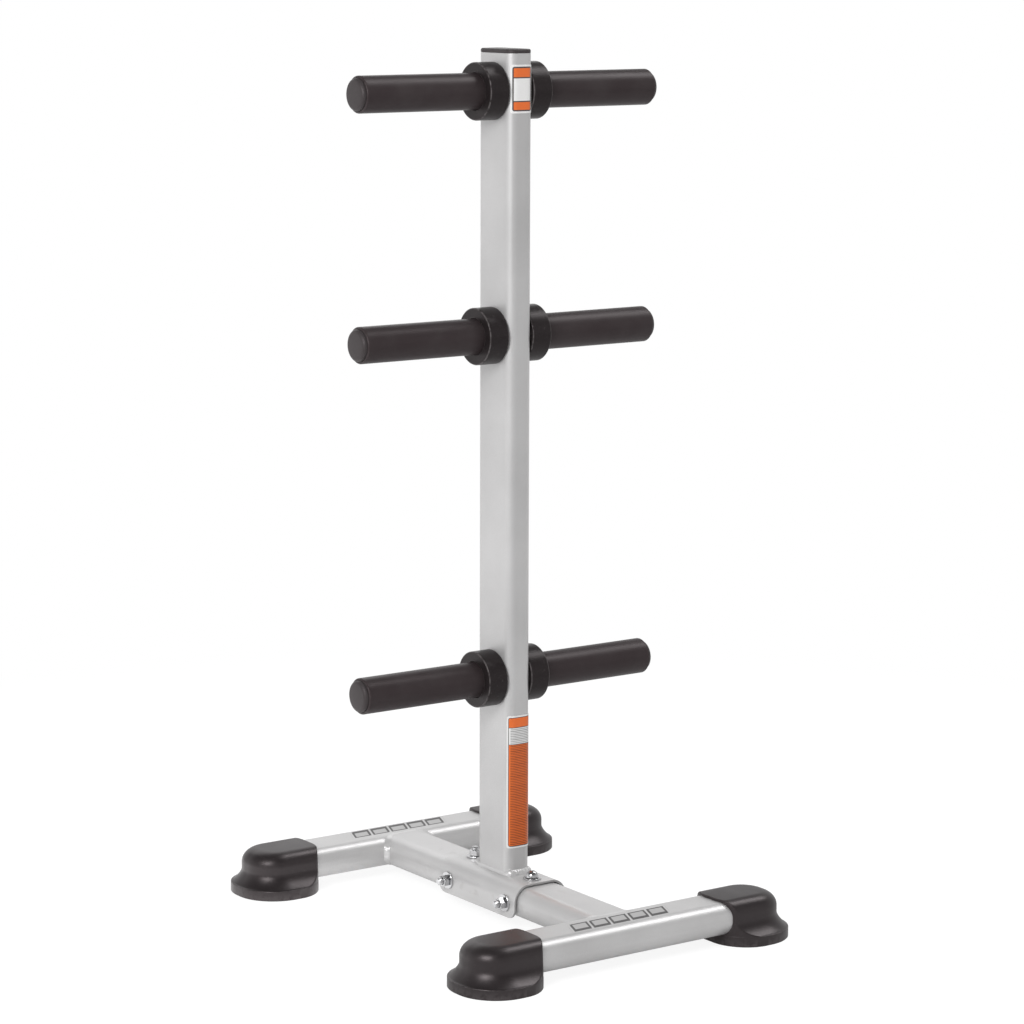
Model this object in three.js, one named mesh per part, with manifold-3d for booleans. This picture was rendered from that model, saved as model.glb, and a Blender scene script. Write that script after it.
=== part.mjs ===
// A plate tree: a welded and bolted stand that stores weight plates on six pegs.
// Millimetres, +Z up. The origin is on the floor under the upright, X runs along
// the pegs and Y along the base, with the front foot towards -Y.
import * as THREE from "three";
import { mergeVertices } from "three/addons/utils/BufferGeometryUtils.js";
import Module from "manifold-3d";

const wasm = await Module();
wasm.setup();

// Clearances shared by the whole part
const SEAT_GAP = 0.3;
const CUT_OVERRUN = 5;

// Upright tube and the plug in its top
const UPRIGHT_WIDTH = 38.1;
const UPRIGHT_DEPTH = 76.2;
const UPRIGHT_CORNER = 12;
const UPRIGHT_WALL = 2.5;
const UPRIGHT_TOP = 1163.8;
const TOP_PLUG_HEIGHT = 5.4;
const TOP_PLUG_EDGE = 2.4;
const TOP_PLUG_SKIRT = 16;

// Base tubes: the two stubs and the two feet are cut from one section
const BASE_WIDTH = 76.2;
const BASE_HEIGHT = 43.7;
const BASE_CORNER = 19.5;
const BASE_WALL = 2.5;
const BASE_BOTTOM = 13.2;
const FOOT_REACH = 269;
const FOOT_TUBE_LENGTH = 430;
const STUB_INNER_END = 2;
const STUB_COPE_LIP = 15;

// Saddle bracket, a channel folded down over the stubs
const SADDLE_LENGTH = 182;
const SADDLE_SHIFT = 4;
const SADDLE_WALL = 3;
const SADDLE_CLEARANCE = 1.5;
const SADDLE_RAISE = 1.9;
const SADDLE_NOSE = 15;

// Weld beads
const UPRIGHT_BEAD_LEG = 5.5;
const UPRIGHT_BEAD_RISE = 6;
const STUB_BEAD_LEG = 6;
const STUB_BEAD_ROOT = 1.2;
const PEG_BEAD_LEG = 4.5;

// Weight pegs, their end plugs and their bumper collars
const PEG_DIAMETER = 48.3;
const PEG_WALL = 2.6;
const PEG_TIP = 230.5;
const PEG_EDGE = 2;
const TOP_PEG_DROP = 49.5;
const MIDDLE_PEG_DROP = 371;
const BOTTOM_PEG_DROP = 834;
const PEG_PLUG_STAND = 6.3;
const PEG_PLUG_EDGE = 5.5;
const PEG_PLUG_WALL = 2.2;
const PEG_PLUG_DEPTH = 18;
const COLLAR_DIAMETER = 76;
const COLLAR_WIDTH = 30;
const COLLAR_EDGE = 1.6;
const COLLAR_BORE_GAP = 0.4;
const COLLAR_RECESS = 6;

// Rubber feet
const PAD_HALF_WIDTH = 61.5;
const PAD_LENGTH = 116.2;
const PAD_OVERHANG = 45.4;
const PAD_END_CORNER = 57;
const PAD_MOUTH_RADIUS = 52;
const PAD_RIM = 14;
const PAD_SOLE_EDGE = 0.8;
const PAD_RIM_EDGE = 1.2;
const BOOT_WALL = 4.8;
const BOOT_END_INSET = 14.2;
const BOOT_END_CORNER = 40;
const BOOT_FLARE = 19;
const BOOT_FLARE_HOLLOW_SHARE = 0.5;
const BOOT_ROOF = 4;
const BOOT_ROUND = 19.5;
const BOOT_END_ROUND = 24;
const BOOT_MOUTH_DRAFT = 2;

// Fasteners
const BOLT_DIAMETER = 9.5;
const BOLT_HOLE_CLEARANCE = 0.5;
const BOLT_INSET = 23.5;
const TOP_BOLT_SHIFT = 2.2;
const SIDE_BOLT_HEIGHT = 34.1;
const BOLT_HEAD_DIAMETER = 18.2;
const BOLT_HEAD_BAND = 0.9;
const BOLT_HEAD_HEIGHT = 9.6;
const BOLT_POINT = 1;
const SIDE_BOLT_STAND = 6.5;
const TOP_BOLT_STAND = 4.5;
const INNER_HEAD_HEIGHT = 4;
const NUT_ACROSS_FLATS = 14.3;
const NUT_HEIGHT = 8;
const INNER_NUT_HEIGHT = 6;
const WASHER_DIAMETER = 24;
const WASHER_THICKNESS = 1.8;

// Stickers on the upright's front face
const STICKER_THICKNESS = 0.35;
const UPPER_STICKER_DROP = 14.5;
const UPPER_STICKER_HEIGHT = 63;
const UPPER_STICKER_WRAP_DEGREES = 50;
const LOWER_STICKER_RISE = 37.4;
const LOWER_STICKER_HEIGHT = 183;
const LOWER_STICKER_WRAP_DEGREES = 60;

// Facet counts
const CORNER_STEPS = 6;
const ROUND_SIDES = 28;
const BOLT_SIDES = 16;
const PROFILE_STEPS = 4;
const MOUTH_STEPS = 14;
const WRAP_STEPS = 5;

// Levels that several pieces share
const baseTop = BASE_BOTTOM + BASE_HEIGHT;
const baseMiddle = BASE_BOTTOM + BASE_HEIGHT / 2;
const saddleTop = baseTop + SADDLE_CLEARANCE + SADDLE_WALL;
const saddleHalfWidth = BASE_WIDTH / 2 + SADDLE_CLEARANCE + SADDLE_WALL;
const saddleCorner = BASE_CORNER + SADDLE_CLEARANCE + SADDLE_WALL;
const sideBoltSpread = SADDLE_LENGTH / 2 - BOLT_INSET;
const uprightBottom = saddleTop + SEAT_GAP;
const pegStart = UPRIGHT_WIDTH / 2 + SEAT_GAP;
const pegRadius = PEG_DIAMETER / 2;
const boltRadius = BOLT_DIAMETER / 2;
// A top bolt stands a little outside the middle between the upright's bead and the
// saddle's nearer end.
const beadToe = UPRIGHT_DEPTH / 2 + UPRIGHT_BEAD_LEG;
const saddleReach = SADDLE_LENGTH / 2 - SADDLE_SHIFT;
const topBoltSpread = (beadToe + saddleReach) / 2 + TOP_BOLT_SHIFT;
const footInnerFace = FOOT_REACH - BASE_WIDTH / 2;
const padEnd = FOOT_TUBE_LENGTH / 2 + PAD_OVERHANG;
const padMouth = padEnd - PAD_LENGTH;
const mouthFlatHalf = PAD_HALF_WIDTH - PAD_MOUTH_RADIUS;
const bootTop = baseTop + BOOT_ROOF;
const bootSideInset = PAD_HALF_WIDTH - BASE_WIDTH / 2 - BOOT_WALL;

const materials = {
  frame: new THREE.MeshStandardMaterial({ color: 0xc7c6c6, roughness: 0.35, metalness: 0.6 }),
  weld: new THREE.MeshStandardMaterial({ color: 0xcfcfd0, roughness: 0.3, metalness: 0.6 }),
  peg: new THREE.MeshStandardMaterial({ color: 0x453f40, roughness: 0.45, metalness: 0.3 }),
  plastic: new THREE.MeshStandardMaterial({ color: 0x383435, roughness: 0.45, metalness: 0 }),
  rubber: new THREE.MeshStandardMaterial({ color: 0x3d393a, roughness: 0.5, metalness: 0 }),
  chrome: new THREE.MeshStandardMaterial({ color: 0xd6d6d8, roughness: 0.12, metalness: 1 }),
  sticker: new THREE.MeshStandardMaterial({ color: 0xe07a3c, roughness: 0.4, metalness: 0 }),
};

// Makes a closed solid from a geometry whose shared vertices are merged.
function solidOf(geometry) {
  const bare = geometry.index ? geometry.toNonIndexed() : geometry.clone();
  bare.deleteAttribute("normal");
  bare.deleteAttribute("uv");
  const merged = mergeVertices(bare);
  return new wasm.Manifold(
    new wasm.Mesh({
      numProp: 3,
      vertProperties: merged.attributes.position.array,
      triVerts: new Uint32Array(merged.index.array),
    }),
  );
}

// Turns a solid back into a geometry.
function geometryOf(solid) {
  const mesh = solid.getMesh();
  const geometry = new THREE.BufferGeometry();
  geometry.setAttribute("position", new THREE.BufferAttribute(mesh.vertProperties, 3));
  geometry.setIndex(new THREE.BufferAttribute(mesh.triVerts, 1));
  return geometry;
}

// Cuts every tool from a body and gives the rest back as a geometry.
function cut(body, tools) {
  const rest = tools.reduce((left, tool) => left.subtract(solidOf(tool)), solidOf(body));
  return geometryOf(rest);
}

// Joins rings of points into a skin. A closed loft runs from the last ring back to
// the first, and an open one is shut by a flat face at each end.
function loft(rings, closed) {
  const count = rings[0].length;
  const positions = rings.flat().flatMap((p) => [p.x, p.y, p.z]);
  const index = [];
  const spans = closed ? rings.length : rings.length - 1;
  for (let r = 0; r < spans; r++) {
    const low = r * count;
    const high = ((r + 1) % rings.length) * count;
    for (let i = 0; i < count; i++) {
      const j = (i + 1) % count;
      index.push(low + i, low + j, high + j, low + i, high + j, high + i);
    }
  }
  if (!closed) {
    const last = (rings.length - 1) * count;
    for (let i = 1; i < count - 1; i++) {
      index.push(0, i + 1, i);
      index.push(last, last + i, last + i + 1);
    }
  }
  const geometry = new THREE.BufferGeometry();
  geometry.setAttribute("position", new THREE.Float32BufferAttribute(positions, 3));
  geometry.setIndex(index);
  return geometry;
}

// The points of a rounded rectangle at one height, anticlockwise seen from above.
function roundedRing(width, depth, corner, height) {
  const points = [];
  const turns = [
    [1, 1, 0],
    [-1, 1, 1],
    [-1, -1, 2],
    [1, -1, 3],
  ];
  for (const [sideX, sideY, turn] of turns) {
    const centreX = sideX * (width / 2 - corner);
    const centreY = sideY * (depth / 2 - corner);
    for (let i = 0; i <= CORNER_STEPS; i++) {
      const angle = ((turn + i / CORNER_STEPS) * Math.PI) / 2;
      const x = centreX + corner * Math.cos(angle);
      const y = centreY + corner * Math.sin(angle);
      points.push(new THREE.Vector3(x, y, height));
    }
  }
  return points;
}

// Rounded rectangles stacked by [outward offset, height] pairs from one section.
function stackedRings(section, steps) {
  return steps.map(([offset, height]) =>
    roundedRing(
      section.width + 2 * offset,
      section.depth + 2 * offset,
      section.corner + offset,
      height,
    ),
  );
}

// A tube with an open end at both heights.
function boxTube(section, wall, bottom, top) {
  return loft(
    stackedRings(section, [
      [-wall, bottom],
      [0, bottom],
      [0, top],
      [-wall, top],
    ]),
    true,
  );
}

// A solid bar of a section, for cutting.
function boxBar(section, offset, bottom, top) {
  return loft(
    stackedRings(section, [
      [offset, bottom],
      [offset, top],
    ]),
    false,
  );
}

// A turned solid on the Z axis. The profile holds [radius, height] pairs, runs
// anticlockwise with the radius to the right, and closes on itself or on the axis.
function turned(profile, sides) {
  const points = profile.map(([radius, height]) => new THREE.Vector2(radius, height));
  if (profile[0][0] > 0) points.push(points[0].clone());
  return new THREE.LatheGeometry(points, sides).rotateX(Math.PI / 2);
}

// A plain round bar on the Z axis, for cutting.
function roundBar(radius, bottom, top, sides) {
  const profile = [
    [0, bottom],
    [radius, bottom],
    [radius, top],
    [0, top],
  ];
  return turned(profile, sides);
}

// Points on a quarter turn of an ellipse from one pair of numbers to another. The
// curve leaves its start along the first number's direction, or along the second's.
function quarter(start, end, alongFirst, steps) {
  const points = [];
  for (let i = 0; i <= steps; i++) {
    const angle = ((i / steps) * Math.PI) / 2;
    const first = alongFirst ? Math.sin(angle) : 1 - Math.cos(angle);
    const second = alongFirst ? 1 - Math.cos(angle) : Math.sin(angle);
    points.push([
      start[0] + (end[0] - start[0]) * first,
      start[1] + (end[1] - start[1]) * second,
    ]);
  }
  return points;
}

const uprightSection = { width: UPRIGHT_WIDTH, depth: UPRIGHT_DEPTH, corner: UPRIGHT_CORNER };
const baseSection = { width: BASE_WIDTH, depth: BASE_HEIGHT, corner: BASE_CORNER };

// Turns a piece made along Z so that it lies along Y, its depth standing up.
function layAlongY(geometry) {
  return geometry.rotateX(-Math.PI / 2).translate(0, 0, baseMiddle);
}

// Turns a piece made along Z so that it lies along X, its depth standing up.
function layAlongX(geometry) {
  return geometry.rotateX(-Math.PI / 2).rotateZ(-Math.PI / 2).translate(0, 0, baseMiddle);
}

// A bolt hole that runs along Z, as long as it is asked to be.
function boltHole(bottom, top) {
  return roundBar(boltRadius + BOLT_HOLE_CLEARANCE, bottom, top, BOLT_SIDES);
}

// A hole across the base, along X, at one place along Y.
function sideHole(y) {
  const reach = saddleHalfWidth + CUT_OVERRUN;
  return boltHole(-reach, reach).rotateY(Math.PI / 2).translate(0, y, SIDE_BOLT_HEIGHT);
}

// A hole down through the top walls, at one place along Y.
function topHole(y) {
  return boltHole(baseMiddle, saddleTop + CUT_OVERRUN).translate(0, y, 0);
}

function uprightTube() {
  return boxTube(uprightSection, UPRIGHT_WALL, uprightBottom, UPRIGHT_TOP);
}

// The plug has a skirt inside the tube and a lid with a rounded edge on top.
function uprightPlug() {
  const skirt = -UPRIGHT_WALL - SEAT_GAP;
  const seat = UPRIGHT_TOP + SEAT_GAP;
  const lid = seat + TOP_PLUG_HEIGHT;
  const edge = quarter([0, lid - TOP_PLUG_EDGE], [-TOP_PLUG_EDGE, lid], false, PROFILE_STEPS);
  const steps = [[skirt, UPRIGHT_TOP - TOP_PLUG_SKIRT], [skirt, seat], [0, seat], ...edge];
  return loft(stackedRings(uprightSection, steps), false);
}

// The saddle's outside as a solid bar, for cutting what lies on its bent top.
function saddleBar(offset) {
  const depth = 2 * saddleCorner + SADDLE_NOSE;
  const section = { width: 2 * saddleHalfWidth, depth, corner: saddleCorner };
  const bar = boxBar(section, offset, -SADDLE_LENGTH / 2, SADDLE_LENGTH / 2);
  return bar.rotateX(-Math.PI / 2).translate(0, 0, saddleTop - depth / 2);
}

// The bead swells outwards between the saddle's top and the upright's sides. It
// reaches down to the saddle where that bends away.
function uprightBead() {
  const inner = SEAT_GAP;
  const foot = saddleTop + SEAT_GAP;
  const root = foot - UPRIGHT_BEAD_LEG;
  const face = quarter(
    [UPRIGHT_BEAD_LEG, foot],
    [inner, foot + UPRIGHT_BEAD_RISE],
    false,
    PROFILE_STEPS,
  );
  const steps = [[inner, root], [UPRIGHT_BEAD_LEG, root], ...face];
  return cut(loft(stackedRings(uprightSection, steps), true), [saddleBar(SEAT_GAP)]);
}

// The outline of the channel: down one side, over the stubs and down the other.
function saddleOutline() {
  const inner = saddleHalfWidth - SADDLE_WALL;
  const innerCorner = saddleCorner - SADDLE_WALL;
  const bottom = BASE_BOTTOM + SADDLE_RAISE;
  const ceiling = saddleTop - SADDLE_WALL;
  const shape = new THREE.Shape();
  shape.moveTo(saddleHalfWidth, bottom);
  shape.lineTo(saddleHalfWidth, saddleTop - saddleCorner);
  shape.absarc(
    saddleHalfWidth - saddleCorner,
    saddleTop - saddleCorner,
    saddleCorner,
    0,
    Math.PI / 2,
    false,
  );
  shape.absarc(
    saddleCorner - saddleHalfWidth,
    saddleTop - saddleCorner,
    saddleCorner,
    Math.PI / 2,
    Math.PI,
    false,
  );
  shape.lineTo(-saddleHalfWidth, bottom);
  shape.lineTo(-inner, bottom);
  shape.absarc(innerCorner - inner, ceiling - innerCorner, innerCorner, Math.PI, Math.PI / 2, true);
  shape.absarc(inner - innerCorner, ceiling - innerCorner, innerCorner, Math.PI / 2, 0, true);
  shape.lineTo(inner, bottom);
  return shape;
}

// The side view of the saddle, whose two lower corners are rounded off.
function saddleSideView() {
  const start = SADDLE_SHIFT - SADDLE_LENGTH / 2;
  const end = SADDLE_SHIFT + SADDLE_LENGTH / 2;
  const bottom = BASE_BOTTOM + SADDLE_RAISE;
  const shape = new THREE.Shape();
  shape.moveTo(start, saddleTop + CUT_OVERRUN);
  shape.lineTo(start, bottom + SADDLE_NOSE);
  shape.absarc(start + SADDLE_NOSE, bottom + SADDLE_NOSE, SADDLE_NOSE, Math.PI, 1.5 * Math.PI, false);
  shape.absarc(end - SADDLE_NOSE, bottom + SADDLE_NOSE, SADDLE_NOSE, 1.5 * Math.PI, 2 * Math.PI, false);
  shape.lineTo(end, saddleTop + CUT_OVERRUN);
  return shape;
}

// The holes of the side bolt and the top bolt at one end of the base.
function boltHolesOf(end) {
  return [sideHole(end * sideBoltSpread + SADDLE_SHIFT), topHole(end * topBoltSpread)];
}

function saddleBracket() {
  const length = SADDLE_LENGTH + 2 * CUT_OVERRUN;
  const channel = new THREE.ExtrudeGeometry(saddleOutline(), {
    depth: length,
    bevelEnabled: false,
    curveSegments: CORNER_STEPS,
  });
  channel.rotateX(Math.PI / 2).translate(0, SADDLE_SHIFT + length / 2, 0);
  const breadth = 2 * (saddleHalfWidth + CUT_OVERRUN);
  const side = new THREE.ExtrudeGeometry(saddleSideView(), {
    depth: breadth,
    bevelEnabled: false,
    curveSegments: CORNER_STEPS,
  });
  side.rotateX(Math.PI / 2).rotateZ(Math.PI / 2).translate(-breadth / 2, 0, 0);
  const trimmed = geometryOf(solidOf(channel).intersect(solidOf(side)));
  const holes = [-1, 1].flatMap(boltHolesOf);
  return cut(trimmed, holes);
}

function footTube() {
  const half = FOOT_TUBE_LENGTH / 2;
  return layAlongX(boxTube(baseSection, BASE_WALL, -half, half));
}

// A stub lies towards one end of the base, which is -1 at the front and 1 at the rear.
// Its outer end is coped to the side of the foot tube.
function stubTube(end) {
  const outerEnd = footInnerFace + STUB_COPE_LIP;
  const [from, to] = end < 0 ? [-outerEnd, -STUB_INNER_END] : [STUB_INNER_END, outerEnd];
  const tube = layAlongY(boxTube(baseSection, BASE_WALL, from, to));
  const cope = layAlongX(boxBar(baseSection, SEAT_GAP, -FOOT_REACH, FOOT_REACH));
  cope.translate(0, end * FOOT_REACH, 0);
  return cut(tube, [cope, ...boltHolesOf(end)]);
}

// The bead fills the corner between a stub and its foot tube. It is dressed flush on
// top and left a little proud underneath.
function stubBead(end) {
  const near = footInnerFace - STUB_BEAD_LEG;
  const far = footInnerFace + STUB_COPE_LIP;
  const face = quarter([0, near], [STUB_BEAD_LEG, footInnerFace], true, PROFILE_STEPS);
  const steps = [...face, [STUB_BEAD_LEG, far]].map(([offset, along]) => [offset, end * along]);
  if (end < 0) steps.reverse();
  const swell = layAlongY(loft(stackedRings(baseSection, steps), false));
  const room = BASE_WIDTH + FOOT_REACH;
  const height = BASE_HEIGHT + STUB_BEAD_ROOT;
  const slab = new THREE.BoxGeometry(room, 2 * room, height);
  slab.translate(0, 0, baseTop - height / 2);
  const dressed = geometryOf(solidOf(swell).intersect(solidOf(slab)));
  const stub = layAlongY(boxBar(baseSection, SEAT_GAP, -FOOT_REACH, FOOT_REACH));
  const foot = layAlongX(boxBar(baseSection, SEAT_GAP, -FOOT_REACH, FOOT_REACH));
  foot.translate(0, end * FOOT_REACH, 0);
  return cut(dressed, [stub, foot]);
}

// How far the mouth of a rubber foot lies from the middle, at a place across it. The
// mouth is flat in its middle and curves back to both sides.
function mouthAt(across) {
  const past = Math.max(0, Math.abs(across) - mouthFlatHalf);
  const square = Math.max(0, PAD_MOUTH_RADIUS ** 2 - past ** 2);
  return padMouth + PAD_MOUTH_RADIUS - Math.sqrt(square);
}

// One level of a rubber foot, anticlockwise seen from above.
function footRing(level) {
  const half = PAD_HALF_WIDTH - level.sideInset;
  const end = padEnd - level.endInset;
  const points = [];
  for (let i = 0; i <= MOUTH_STEPS; i++) {
    const across = half * Math.cos((i / MOUTH_STEPS) * Math.PI);
    points.push(new THREE.Vector3(mouthAt(across) + level.draft, across, level.height));
  }
  for (const side of [-1, 1]) {
    for (let i = 0; i <= CORNER_STEPS; i++) {
      const turn = (i / CORNER_STEPS) * (Math.PI / 2);
      const angle = side < 0 ? turn - Math.PI / 2 : turn;
      const x = end - level.corner + level.corner * Math.cos(angle);
      const y = side * (half - level.corner) + level.corner * Math.sin(angle);
      if (side < 0 || i < CORNER_STEPS) points.push(new THREE.Vector3(x, y, level.height));
    }
  }
  return points;
}

// The levels of a rubber foot: sole, rim, flare, upright wall and rounded top. The
// flare lies between a straight slope and a quarter round.
function footLevels() {
  const rim = [
    [PAD_SOLE_EDGE, 0],
    [0, PAD_SOLE_EDGE],
    [0, PAD_RIM - PAD_RIM_EDGE],
    [PAD_RIM_EDGE, PAD_RIM],
  ].map(([inset, height]) => ({
    sideInset: inset,
    endInset: inset,
    corner: PAD_END_CORNER - inset,
    height,
    draft: height > 0 ? 0 : PAD_SOLE_EDGE,
  }));
  const hollow = quarter([0, 0], [1, 1], true, PROFILE_STEPS).slice(1);
  const flare = hollow.map(([share, rise]) => {
    const climb = BOOT_FLARE * (share + (rise - share) * BOOT_FLARE_HOLLOW_SHARE);
    return {
      sideInset: PAD_RIM_EDGE + (bootSideInset - PAD_RIM_EDGE) * share,
      endInset: PAD_RIM_EDGE + (BOOT_END_INSET - PAD_RIM_EDGE) * share,
      corner: PAD_END_CORNER + (BOOT_END_CORNER - PAD_END_CORNER) * share,
      height: PAD_RIM + climb,
      draft: (BOOT_MOUTH_DRAFT * climb) / (bootTop - PAD_RIM),
    };
  });
  const shoulder = bootTop - BOOT_ROUND;
  const round = quarter([0, shoulder], [BOOT_ROUND, bootTop], false, PROFILE_STEPS + 1);
  const hood = round.map(([inset, height]) => ({
    sideInset: bootSideInset + inset,
    endInset: BOOT_END_INSET + (inset * BOOT_END_ROUND) / BOOT_ROUND,
    corner: BOOT_END_CORNER - inset,
    height,
    draft: (BOOT_MOUTH_DRAFT * (height - PAD_RIM)) / (bootTop - PAD_RIM),
  }));
  return [...rim, ...flare, ...hood];
}

// A rubber foot for the right end of a foot tube that lies on the X axis.
function rubberFoot() {
  const boot = loft(footLevels().map(footRing), false);
  const socketEnd = FOOT_TUBE_LENGTH / 2 + SEAT_GAP;
  const socket = layAlongX(boxBar(baseSection, SEAT_GAP, padMouth - CUT_OVERRUN, socketEnd));
  return cut(boot, [socket]);
}

// A peg with its outer edge broken, along Z from the upright's side.
function pegTube() {
  const profile = [
    [pegRadius - PEG_WALL, pegStart],
    [pegRadius, pegStart],
    [pegRadius, PEG_TIP - PEG_EDGE],
    [pegRadius - PEG_EDGE, PEG_TIP],
    [pegRadius - PEG_WALL, PEG_TIP],
  ];
  return turned(profile, ROUND_SIDES);
}

// A push-in plug: a hollow skirt inside the peg and a lid with a soft edge.
function pegPlug() {
  const radius = pegRadius - PEG_WALL - SEAT_GAP;
  const face = PEG_TIP + PEG_PLUG_STAND;
  const edge = quarter(
    [radius, face - PEG_PLUG_EDGE],
    [radius - PEG_PLUG_EDGE, face],
    false,
    PROFILE_STEPS,
  );
  const profile = [
    [0, face - PEG_PLUG_EDGE],
    [radius - PEG_PLUG_WALL, face - PEG_PLUG_EDGE],
    [radius - PEG_PLUG_WALL, PEG_TIP - PEG_PLUG_DEPTH],
    [radius, PEG_TIP - PEG_PLUG_DEPTH],
    ...edge,
    [0, face],
  ];
  return turned(profile, ROUND_SIDES);
}

// A collar with a plain bore and a recess at its inner face that clears the weld.
function pegCollar() {
  const outer = COLLAR_DIAMETER / 2;
  const bore = pegRadius + COLLAR_BORE_GAP;
  const recess = pegRadius + PEG_BEAD_LEG + 2 * SEAT_GAP;
  const face = pegStart + COLLAR_WIDTH;
  const profile = [
    [recess, pegStart],
    [outer - COLLAR_EDGE, pegStart],
    [outer, pegStart + COLLAR_EDGE],
    [outer, face - COLLAR_EDGE],
    [outer - COLLAR_EDGE, face],
    [bore, face],
    [bore, pegStart + COLLAR_RECESS],
    [recess, pegStart + COLLAR_RECESS],
  ];
  return turned(profile, ROUND_SIDES);
}

// The fillet weld at the root of a peg.
function pegBead() {
  const inner = pegRadius + SEAT_GAP;
  const outer = pegRadius + PEG_BEAD_LEG;
  const face = quarter([outer, pegStart], [inner, pegStart + PEG_BEAD_LEG], true, 2);
  return turned([[inner, pegStart], ...face], ROUND_SIDES);
}

function washer() {
  const bore = boltRadius + BOLT_HOLE_CLEARANCE;
  const outer = WASHER_DIAMETER / 2;
  const profile = [
    [bore, 0],
    [outer, 0],
    [outer, WASHER_THICKNESS],
    [bore, WASHER_THICKNESS],
  ];
  return turned(profile, BOLT_SIDES);
}

// A hexagon nut whose corners are turned off at both faces.
function nut(height) {
  const corner = NUT_ACROSS_FLATS / Math.sqrt(3);
  const hexagon = roundBar(corner, 0, height, 6);
  const bevel = (corner - NUT_ACROSS_FLATS / 2) / 2;
  const blank = turned(
    [
      [0, 0],
      [corner - 2 * bevel, 0],
      [corner, bevel],
      [corner, height - bevel],
      [corner - 2 * bevel, height],
      [0, height],
    ],
    BOLT_SIDES + BOLT_SIDES / 2,
  );
  const bore = roundBar(boltRadius + SEAT_GAP, -CUT_OVERRUN, height + CUT_OVERRUN, BOLT_SIDES);
  return cut(geometryOf(solidOf(hexagon).intersect(solidOf(blank))), [bore]);
}

// A bolt on the Z axis with a domed head above "under" and its point at "tip" below it.
function domedBolt(under, tip) {
  const dome = quarter(
    [BOLT_HEAD_DIAMETER / 2, under + BOLT_HEAD_BAND],
    [0, under + BOLT_HEAD_HEIGHT],
    false,
    PROFILE_STEPS,
  );
  const profile = [
    [0, tip],
    [boltRadius - BOLT_POINT, tip],
    [boltRadius, tip + BOLT_POINT],
    [boltRadius, under],
    [BOLT_HEAD_DIAMETER / 2, under],
    ...dome,
  ];
  return turned(profile, BOLT_SIDES);
}

// A bolt whose low flat head lies below "under" and whose point stands up to "tip".
function studBolt(under, tip) {
  const profile = [
    [0, under - INNER_HEAD_HEIGHT],
    [BOLT_HEAD_DIAMETER / 2, under - INNER_HEAD_HEIGHT],
    [BOLT_HEAD_DIAMETER / 2, under],
    [boltRadius, under],
    [boltRadius, tip - BOLT_POINT],
    [boltRadius - BOLT_POINT, tip],
    [0, tip],
  ];
  return turned(profile, BOLT_SIDES);
}

// A sticker that wraps a little round both front corners of the upright.
function sticker(bottom, height, wrapDegrees) {
  const wrap = (wrapDegrees * Math.PI) / 180;
  const flat = UPRIGHT_WIDTH / 2 - UPRIGHT_CORNER;
  const centreY = UPRIGHT_CORNER - UPRIGHT_DEPTH / 2;
  const strip = (radius) => {
    const points = [];
    for (const side of [-1, 1]) {
      for (let i = 0; i <= WRAP_STEPS; i++) {
        const share = side < 0 ? 1 - i / WRAP_STEPS : i / WRAP_STEPS;
        const angle = side * share * wrap;
        const x = side * flat + radius * Math.sin(angle);
        points.push([x, centreY - radius * Math.cos(angle)]);
      }
    }
    return points;
  };
  const inner = strip(UPRIGHT_CORNER + SEAT_GAP);
  const outer = strip(UPRIGHT_CORNER + SEAT_GAP + STICKER_THICKNESS);
  const shape = new THREE.Shape([...outer, ...inner.reverse()].map(([x, y]) => new THREE.Vector2(x, y)));
  const strips = new THREE.ExtrudeGeometry(shape, { depth: height, bevelEnabled: false });
  return strips.translate(0, 0, bottom);
}

const tree = new THREE.Group();

// Adds a named mesh to the tree, or to a group inside it.
function add(name, geometry, material, parent = tree) {
  const mesh = new THREE.Mesh(geometry, material);
  mesh.name = name;
  parent.add(mesh);
  return mesh;
}

function addUpright() {
  add("upright_tube", uprightTube(), materials.frame);
  add("upright_cap", uprightPlug(), materials.plastic);
  add("upright_weld", uprightBead(), materials.weld);
  const high = UPRIGHT_TOP - UPPER_STICKER_DROP - UPPER_STICKER_HEIGHT;
  const low = saddleTop + LOWER_STICKER_RISE;
  const upper = sticker(high, UPPER_STICKER_HEIGHT, UPPER_STICKER_WRAP_DEGREES);
  const lower = sticker(low, LOWER_STICKER_HEIGHT, LOWER_STICKER_WRAP_DEGREES);
  add("upper_sticker", upper, materials.sticker);
  add("lower_sticker", lower, materials.sticker);
}

function addBase() {
  add("saddle_bracket", saddleBracket(), materials.frame);
  for (const [place, end] of [["front", -1], ["rear", 1]]) {
    add(`${place}_stub_tube`, stubTube(end), materials.frame);
    add(`${place}_stub_weld`, stubBead(end), materials.weld);
    const foot = new THREE.Group();
    foot.position.set(0, end * FOOT_REACH, 0);
    tree.add(foot);
    add(`${place}_foot_tube`, footTube(), materials.frame, foot);
    for (const [side, turn] of [["left", Math.PI], ["right", 0]]) {
      const rubber = add(`${place}_${side}_rubber_foot`, rubberFoot(), materials.rubber, foot);
      rubber.rotation.z = turn;
    }
  }
}

// Each peg and what is on it share a group that points along +X or -X.
function addPegs() {
  const drops = { top: TOP_PEG_DROP, middle: MIDDLE_PEG_DROP, bottom: BOTTOM_PEG_DROP };
  for (const [level, drop] of Object.entries(drops)) {
    for (const [side, turn] of [["left", -Math.PI / 2], ["right", Math.PI / 2]]) {
      const arm = new THREE.Group();
      arm.position.set(0, 0, UPRIGHT_TOP - drop);
      arm.rotation.y = turn;
      tree.add(arm);
      add(`${level}_${side}_peg`, pegTube(), materials.peg, arm);
      add(`${level}_${side}_peg_cap`, pegPlug(), materials.plastic, arm);
      add(`${level}_${side}_peg_collar`, pegCollar(), materials.plastic, arm);
      add(`${level}_${side}_peg_weld`, pegBead(), materials.weld, arm);
    }
  }
}

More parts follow.
